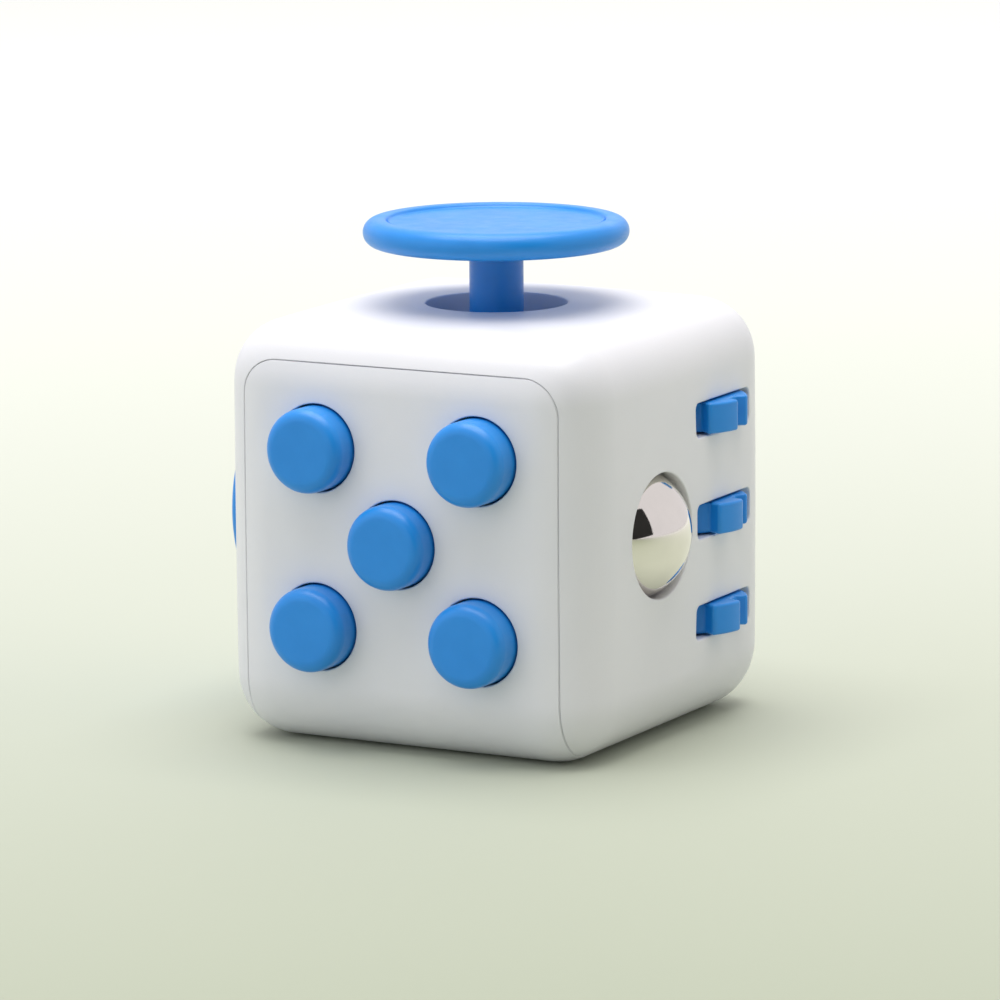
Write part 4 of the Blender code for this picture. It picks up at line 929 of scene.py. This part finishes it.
def make_dial(sizes):
    """Round plate on a hub, with a finger dimple near its rim."""
    low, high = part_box("spin_dial")
    radius = (high.z - low.z) / 2
    proud = -HALF - low.x
    back = -HALF - high.x
    edge = sizes.dial_edge
    rings = [(TINY * MM, back), (DIAL_HUB, back), (DIAL_HUB, DIAL_SHOULDER),
             (radius - DIAL_SOFT, DIAL_SHOULDER), (radius, DIAL_SHOULDER + DIAL_SOFT)]
    rings += arc((radius - edge, proud - edge), edge, 0, 90, 10)
    face = radius - edge
    rings += [(face * share, proud) for share in (0.9, 0.7, 0.5, 0.25, TINY)]
    dial = turned("spinner", rings, 128, LEFT)
    carve(dial, dimple_cutter(sizes, radius, proud))
    smooth(dial, 40)
    done(dial, "dial", "blue_control", surface("blue_control"), "spin_dial")


# ---------------------------------------------------------------- rocker
ROCKER_PROUD = 0.5 * MM
ROCKER_DIP = 0.5 * MM      # how far the key's face sinks from its ends to its middle
ROCKER_BODY = 1.5 * MM
ROCKER_BOSS = 1.6 * MM     # radius round the pin
ROCKER_NOSE = 0.4 * MM     # radius of the nose that the leaf spring catches
NOSE_DROP = 2.2 * MM
ROCKER_BORE = 0.66 * MM
ROCKER_TURN = 11           # degrees


def inset(outline, depth):
    """Outline drawn in by depth; the outline runs anticlockwise."""
    moved = []
    for i, (x, y) in enumerate(outline):
        before = Vector(outline[i - 1])
        after = Vector(outline[(i + 1) % len(outline)])
        here = Vector((x, y))
        first = (here - before).normalized()
        second = (after - here).normalized()
        inward = Vector((-first.y - second.y, first.x + second.x)).normalized()
        slant = max(0.7, inward.dot(Vector((-first.y, first.x))))
        moved.append(tuple(here + inward * depth / slant))
    return moved


def rocker_outline():
    """The key seen along its pin: face, ends, boss and nose, anticlockwise."""
    radius = ROCKER_RADIUS
    top = (HALF - PIN.y) + ROCKER_PROUD
    high = math.degrees(math.asin((top + ROCKER_DIP) / radius))
    low = math.degrees(math.asin((top + ROCKER_DIP - 2 * ROCKER_BODY) / radius))
    reach = radius * math.cos(math.radians(high))
    outline = arc((0, 0), radius, low, high, 10)
    outline += [(reach * (1 - i / 12), top + ROCKER_DIP * (1 - i / 12) ** 2) for i in range(1, 24)]
    outline += arc((0, 0), radius, 180 - high, 180 - low, 10)
    outline += arc((0, 0), ROCKER_BOSS, 150, 235, 10)
    outline += arc((0, -NOSE_DROP), ROCKER_NOSE, 180, 360, 10)
    outline += arc((0, 0), ROCKER_BOSS, -55, 30, 10)
    return outline


def make_rocker(sizes):
    """Key with a dished face, at one end of its travel."""
    outline = rocker_outline()
    half = span("flip_rocker").x / 2
    across = Matrix.Translation(PIN) @ turn(0, 90, 0)
    edge = sizes.rocker_edge
    rims = [(edge * (1 - math.sin(math.radians(a))), half - edge * (1 - math.cos(math.radians(a))))
            for a in (0, 22.5, 45, 67.5, 90)]
    sections = [(inset(outline, depth), -height) for depth, height in rims]
    sections += [(inset(outline, depth), height) for depth, height in reversed(rims)]
    rocker = lofted("rocker_key", sections, across @ turn(0, 0, ROCKER_TURN))
    carve(rocker, drum("bore", ROCKER_BORE, -2 * half, 2 * half, 32, across))
    smooth(rocker, 35)
    done(rocker, "rocker", "blue_control", surface("blue_control"), "flip_rocker")


# ---------------------------------------------------------------- pieces inside
def finish_inside():
    """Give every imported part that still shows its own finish."""
    slots = {row["node"]: row["material_slot"] for row in frame["record"]["subparts"]}
    for node, obj in frame["nodes"].items():
        if obj.hide_render:
            continue
        obj.data.materials.clear()
        obj.data.materials.append(surface(slots[node]))


# ---------------------------------------------------------------- stage
FLOOR_REACH = 3.0
FLOOR_DROP = 0.02 * MM
FLOOR_CENTRE = (0.10, -0.18, 0.0)
FLOOR_NEAR = 0.10        # distance from FLOOR_CENTRE at which the floor starts to pale
FLOOR_FAR = 0.65         # distance at which it is palest
CARD_SCALE = (0.50, 0.60, 1)
CARD_PLACE = (0.47, -0.36, 0.31)
CARD_TURN = (90, -8, 53)
AMBIENT_TINT = (1.0, 0.97, 1.0, 1)
AMBIENT_STRENGTH = 0.80


def softbox(name, energy, size, place, aim, tint=WHITE):
    """Square soft light with a side of size, pointed at aim."""
    light = bpy.data.lights.new(name, "AREA")
    light.shape = "RECTANGLE"
    light.size = light.size_y = size
    light.energy = energy
    light.color = tint
    obj = linked(name, light)
    obj.location = place
    obj.rotation_euler = (Vector(aim) - Vector(place)).to_track_quat("-Z", "Y").to_euler()


def studio_floor(colours):
    """Wide matt sheet that pales away from the cube."""
    deselect()
    bpy.ops.mesh.primitive_plane_add(size=2 * FLOOR_REACH, location=(0, 0, -FLOOR_DROP))
    floor = added("floor")
    paint = Nodes("finish_floor")
    away = paint.tree.nodes.new("ShaderNodeVectorMath")
    away.operation = "DISTANCE"
    away.inputs[1].default_value = FLOOR_CENTRE
    paint.link(paint.place, away, 0)
    pale = paint.spread(away.outputs["Value"], FLOOR_NEAR, FLOOR_FAR, 0, 1)
    uneven = paint.math("MULTIPLY", paint.noise(6, 2), 0.04)
    share = paint.math("ADD", pale, uneven)
    paint.link(paint.blend(share, tuple(colours.floor), tuple(colours.floor_far)),
               paint.shader, "Base Color")
    paint.shader.inputs["Roughness"].default_value = 0.7
    floor.data.materials.append(paint.material)


def dark_card():
    """Black board in front of the right face, mirrored by the polished ball."""
    deselect()
    bpy.ops.mesh.primitive_plane_add(size=1)
    card = added("dark_card")
    card.scale = CARD_SCALE
    settle(card, Matrix.Translation(CARD_PLACE) @ turn(*CARD_TURN))
    paint = Nodes("finish_card")
    paint.shader.inputs["Base Color"].default_value = (0.01, 0.01, 0.01, 1)
    paint.shader.inputs["Roughness"].default_value = 0.9
    card.data.materials.append(paint.material)
    card.visible_camera = False


def make_stage(colours):
    """Floor, even light from all round, three soft lights, the dark card and the camera."""
    studio_floor(colours)
    world = bpy.data.worlds.new("studio")
    world.use_nodes = True
    ambient = world.node_tree.nodes["Background"]
    ambient.inputs["Color"].default_value = AMBIENT_TINT
    ambient.inputs["Strength"].default_value = AMBIENT_STRENGTH
    bpy.context.scene.world = world
    bpy.context.scene.view_settings.view_transform = "Standard"
    softbox("key_above", energy=2.9, size=0.5, place=(-0.03, 0.0, 0.55), aim=CENTRE,
            tint=(1.0, 0.98, 0.95))
    softbox("fill_front", energy=0.32, size=0.4, place=(-0.35, -0.5, 0.25), aim=CENTRE,
            tint=(0.50, 0.66, 1.0))
    softbox("glow_behind", energy=1.0, size=0.8, place=(-0.3, 1.1, 0.6), aim=(-0.3, 1.0, 0))
    dark_card()
    make_camera()


def make_camera():
    """Long lens, a little above the cube, turned to show its front, right and top faces."""
    yaw = math.radians(28.4)
    height = math.radians(10.3)
    dip = math.radians(10.2)
    roll = math.radians(-0.42)
    distance = 0.4758
    data = bpy.data.cameras.new("camera")
    data.lens = 220.3
    data.sensor_width = 36
    data.shift_x = 0.0019
    data.clip_start = 0.05
    camera = linked("camera", data)
    ray = Vector((math.sin(yaw) * math.cos(height), -math.cos(yaw) * math.cos(height),
                  math.sin(height)))
    aim = (Matrix.Rotation(yaw, 4, "Z") @ Matrix.Rotation(math.pi / 2 - dip, 4, "X")
           @ Matrix.Rotation(roll, 4, "Z"))
    camera.matrix_world = Matrix.Translation(CENTRE + ray * distance) @ aim
    bpy.context.scene.camera = camera


# ---------------------------------------------------------------- operators
class CUBE_OT_side_top_shell(bpy.types.Operator):
    """Model the shell of the sides and the top"""
    bl_idname = "cube.side_top_shell"
    bl_label = "Side and top shell"
    bl_options = {"REGISTER", "UNDO"}

    def execute(self, context):
        make_side_top_shell(context.scene.cube_sizes)
        return {"FINISHED"}


class CUBE_OT_strap_shell(bpy.types.Operator):
    """Model the shell of the front, the underside and the back"""
    bl_idname = "cube.strap_shell"
    bl_label = "Strap shell"
    bl_options = {"REGISTER", "UNDO"}

    def execute(self, context):
        make_strap_shell(context.scene.cube_sizes)
        return {"FINISHED"}


class CUBE_OT_buttons(bpy.types.Operator):
    """Model the five button caps"""
    bl_idname = "cube.buttons"
    bl_label = "Buttons"
    bl_options = {"REGISTER", "UNDO"}

    def execute(self, context):
        make_buttons(context.scene.cube_sizes)
        return {"FINISHED"}


class CUBE_OT_joystick(bpy.types.Operator):
    """Model the joystick's thumb disc and its stem with the dust skirt"""
    bl_idname = "cube.joystick"
    bl_label = "Joystick"
    bl_options = {"REGISTER", "UNDO"}

    def execute(self, context):
        make_disc(context.scene.cube_sizes)
        make_stem(context.scene.cube_sizes)
        return {"FINISHED"}


class CUBE_OT_ball(bpy.types.Operator):
    """Model the steel ball"""
    bl_idname = "cube.ball"
    bl_label = "Ball"
    bl_options = {"REGISTER", "UNDO"}

    def execute(self, context):
        make_ball()
        return {"FINISHED"}


class CUBE_OT_wheels(bpy.types.Operator):
    """Model the three toothed wheels"""
    bl_idname = "cube.wheels"
    bl_label = "Toothed wheels"
    bl_options = {"REGISTER", "UNDO"}

    def execute(self, context):
        make_wheels(context.scene.cube_sizes)
        return {"FINISHED"}


class CUBE_OT_dial(bpy.types.Operator):
    """Model the dial with its finger dimple"""
    bl_idname = "cube.dial"
    bl_label = "Spin dial"
    bl_options = {"REGISTER", "UNDO"}

    def execute(self, context):
        make_dial(context.scene.cube_sizes)
        return {"FINISHED"}


class CUBE_OT_rocker(bpy.types.Operator):
    """Model the rocker key"""
    bl_idname = "cube.rocker"
    bl_label = "Flip rocker"
    bl_options = {"REGISTER", "UNDO"}

    def execute(self, context):
        make_rocker(context.scene.cube_sizes)
        return {"FINISHED"}


class CUBE_OT_inside(bpy.types.Operator):
    """Finish the frames, springs, pads and screws inside"""
    bl_idname = "cube.inside"
    bl_label = "Pieces inside"
    bl_options = {"REGISTER", "UNDO"}

    def execute(self, context):
        finish_inside()
        return {"FINISHED"}


class CUBE_OT_stage(bpy.types.Operator):
    """Add the floor, the lights and the camera"""
    bl_idname = "cube.stage"
    bl_label = "Stage"
    bl_options = {"REGISTER", "UNDO"}

    def execute(self, context):
        make_stage(context.scene.cube_colours)
        return {"FINISHED"}


OPERATORS = (CUBE_OT_side_top_shell, CUBE_OT_strap_shell, CUBE_OT_buttons, CUBE_OT_joystick,
             CUBE_OT_ball, CUBE_OT_wheels, CUBE_OT_dial, CUBE_OT_rocker, CUBE_OT_inside,
             CUBE_OT_stage)


class CUBE_PT_panel(bpy.types.Panel):
    """Sizes, colours and steps of the fidget cube."""
    bl_label = "Fidget Cube"
    bl_idname = "CUBE_PT_panel"
    bl_space_type = "VIEW_3D"
    bl_region_type = "UI"
    bl_category = "Fidget Cube"

    def draw(self, context):
        for group in (context.scene.cube_sizes, context.scene.cube_colours):
            column = self.layout.column()
            for name in group.__annotations__:
                column.prop(group, name)
        for operator in OPERATORS:
            self.layout.operator(operator.bl_idname)


CLASSES = (CubeSizes, CubeColours, *OPERATORS, CUBE_PT_panel)


def register():
    for cls in CLASSES:
        bpy.utils.register_class(cls)
    bpy.types.Scene.cube_sizes = PointerProperty(type=CubeSizes)
    bpy.types.Scene.cube_colours = PointerProperty(type=CubeColours)


def unregister():
    del bpy.types.Scene.cube_colours
    del bpy.types.Scene.cube_sizes
    for cls in reversed(CLASSES):
        bpy.utils.unregister_class(cls)


def main():
    register()
    bpy.ops.cube.side_top_shell()
    bpy.ops.cube.strap_shell()
    bpy.ops.cube.buttons()
    bpy.ops.cube.joystick()
    bpy.ops.cube.ball()
    bpy.ops.cube.wheels()
    bpy.ops.cube.dial()
    bpy.ops.cube.rocker()
    bpy.ops.cube.inside()
    bpy.ops.cube.stage()
    deselect()


if __name__ == "__main__":
    main()
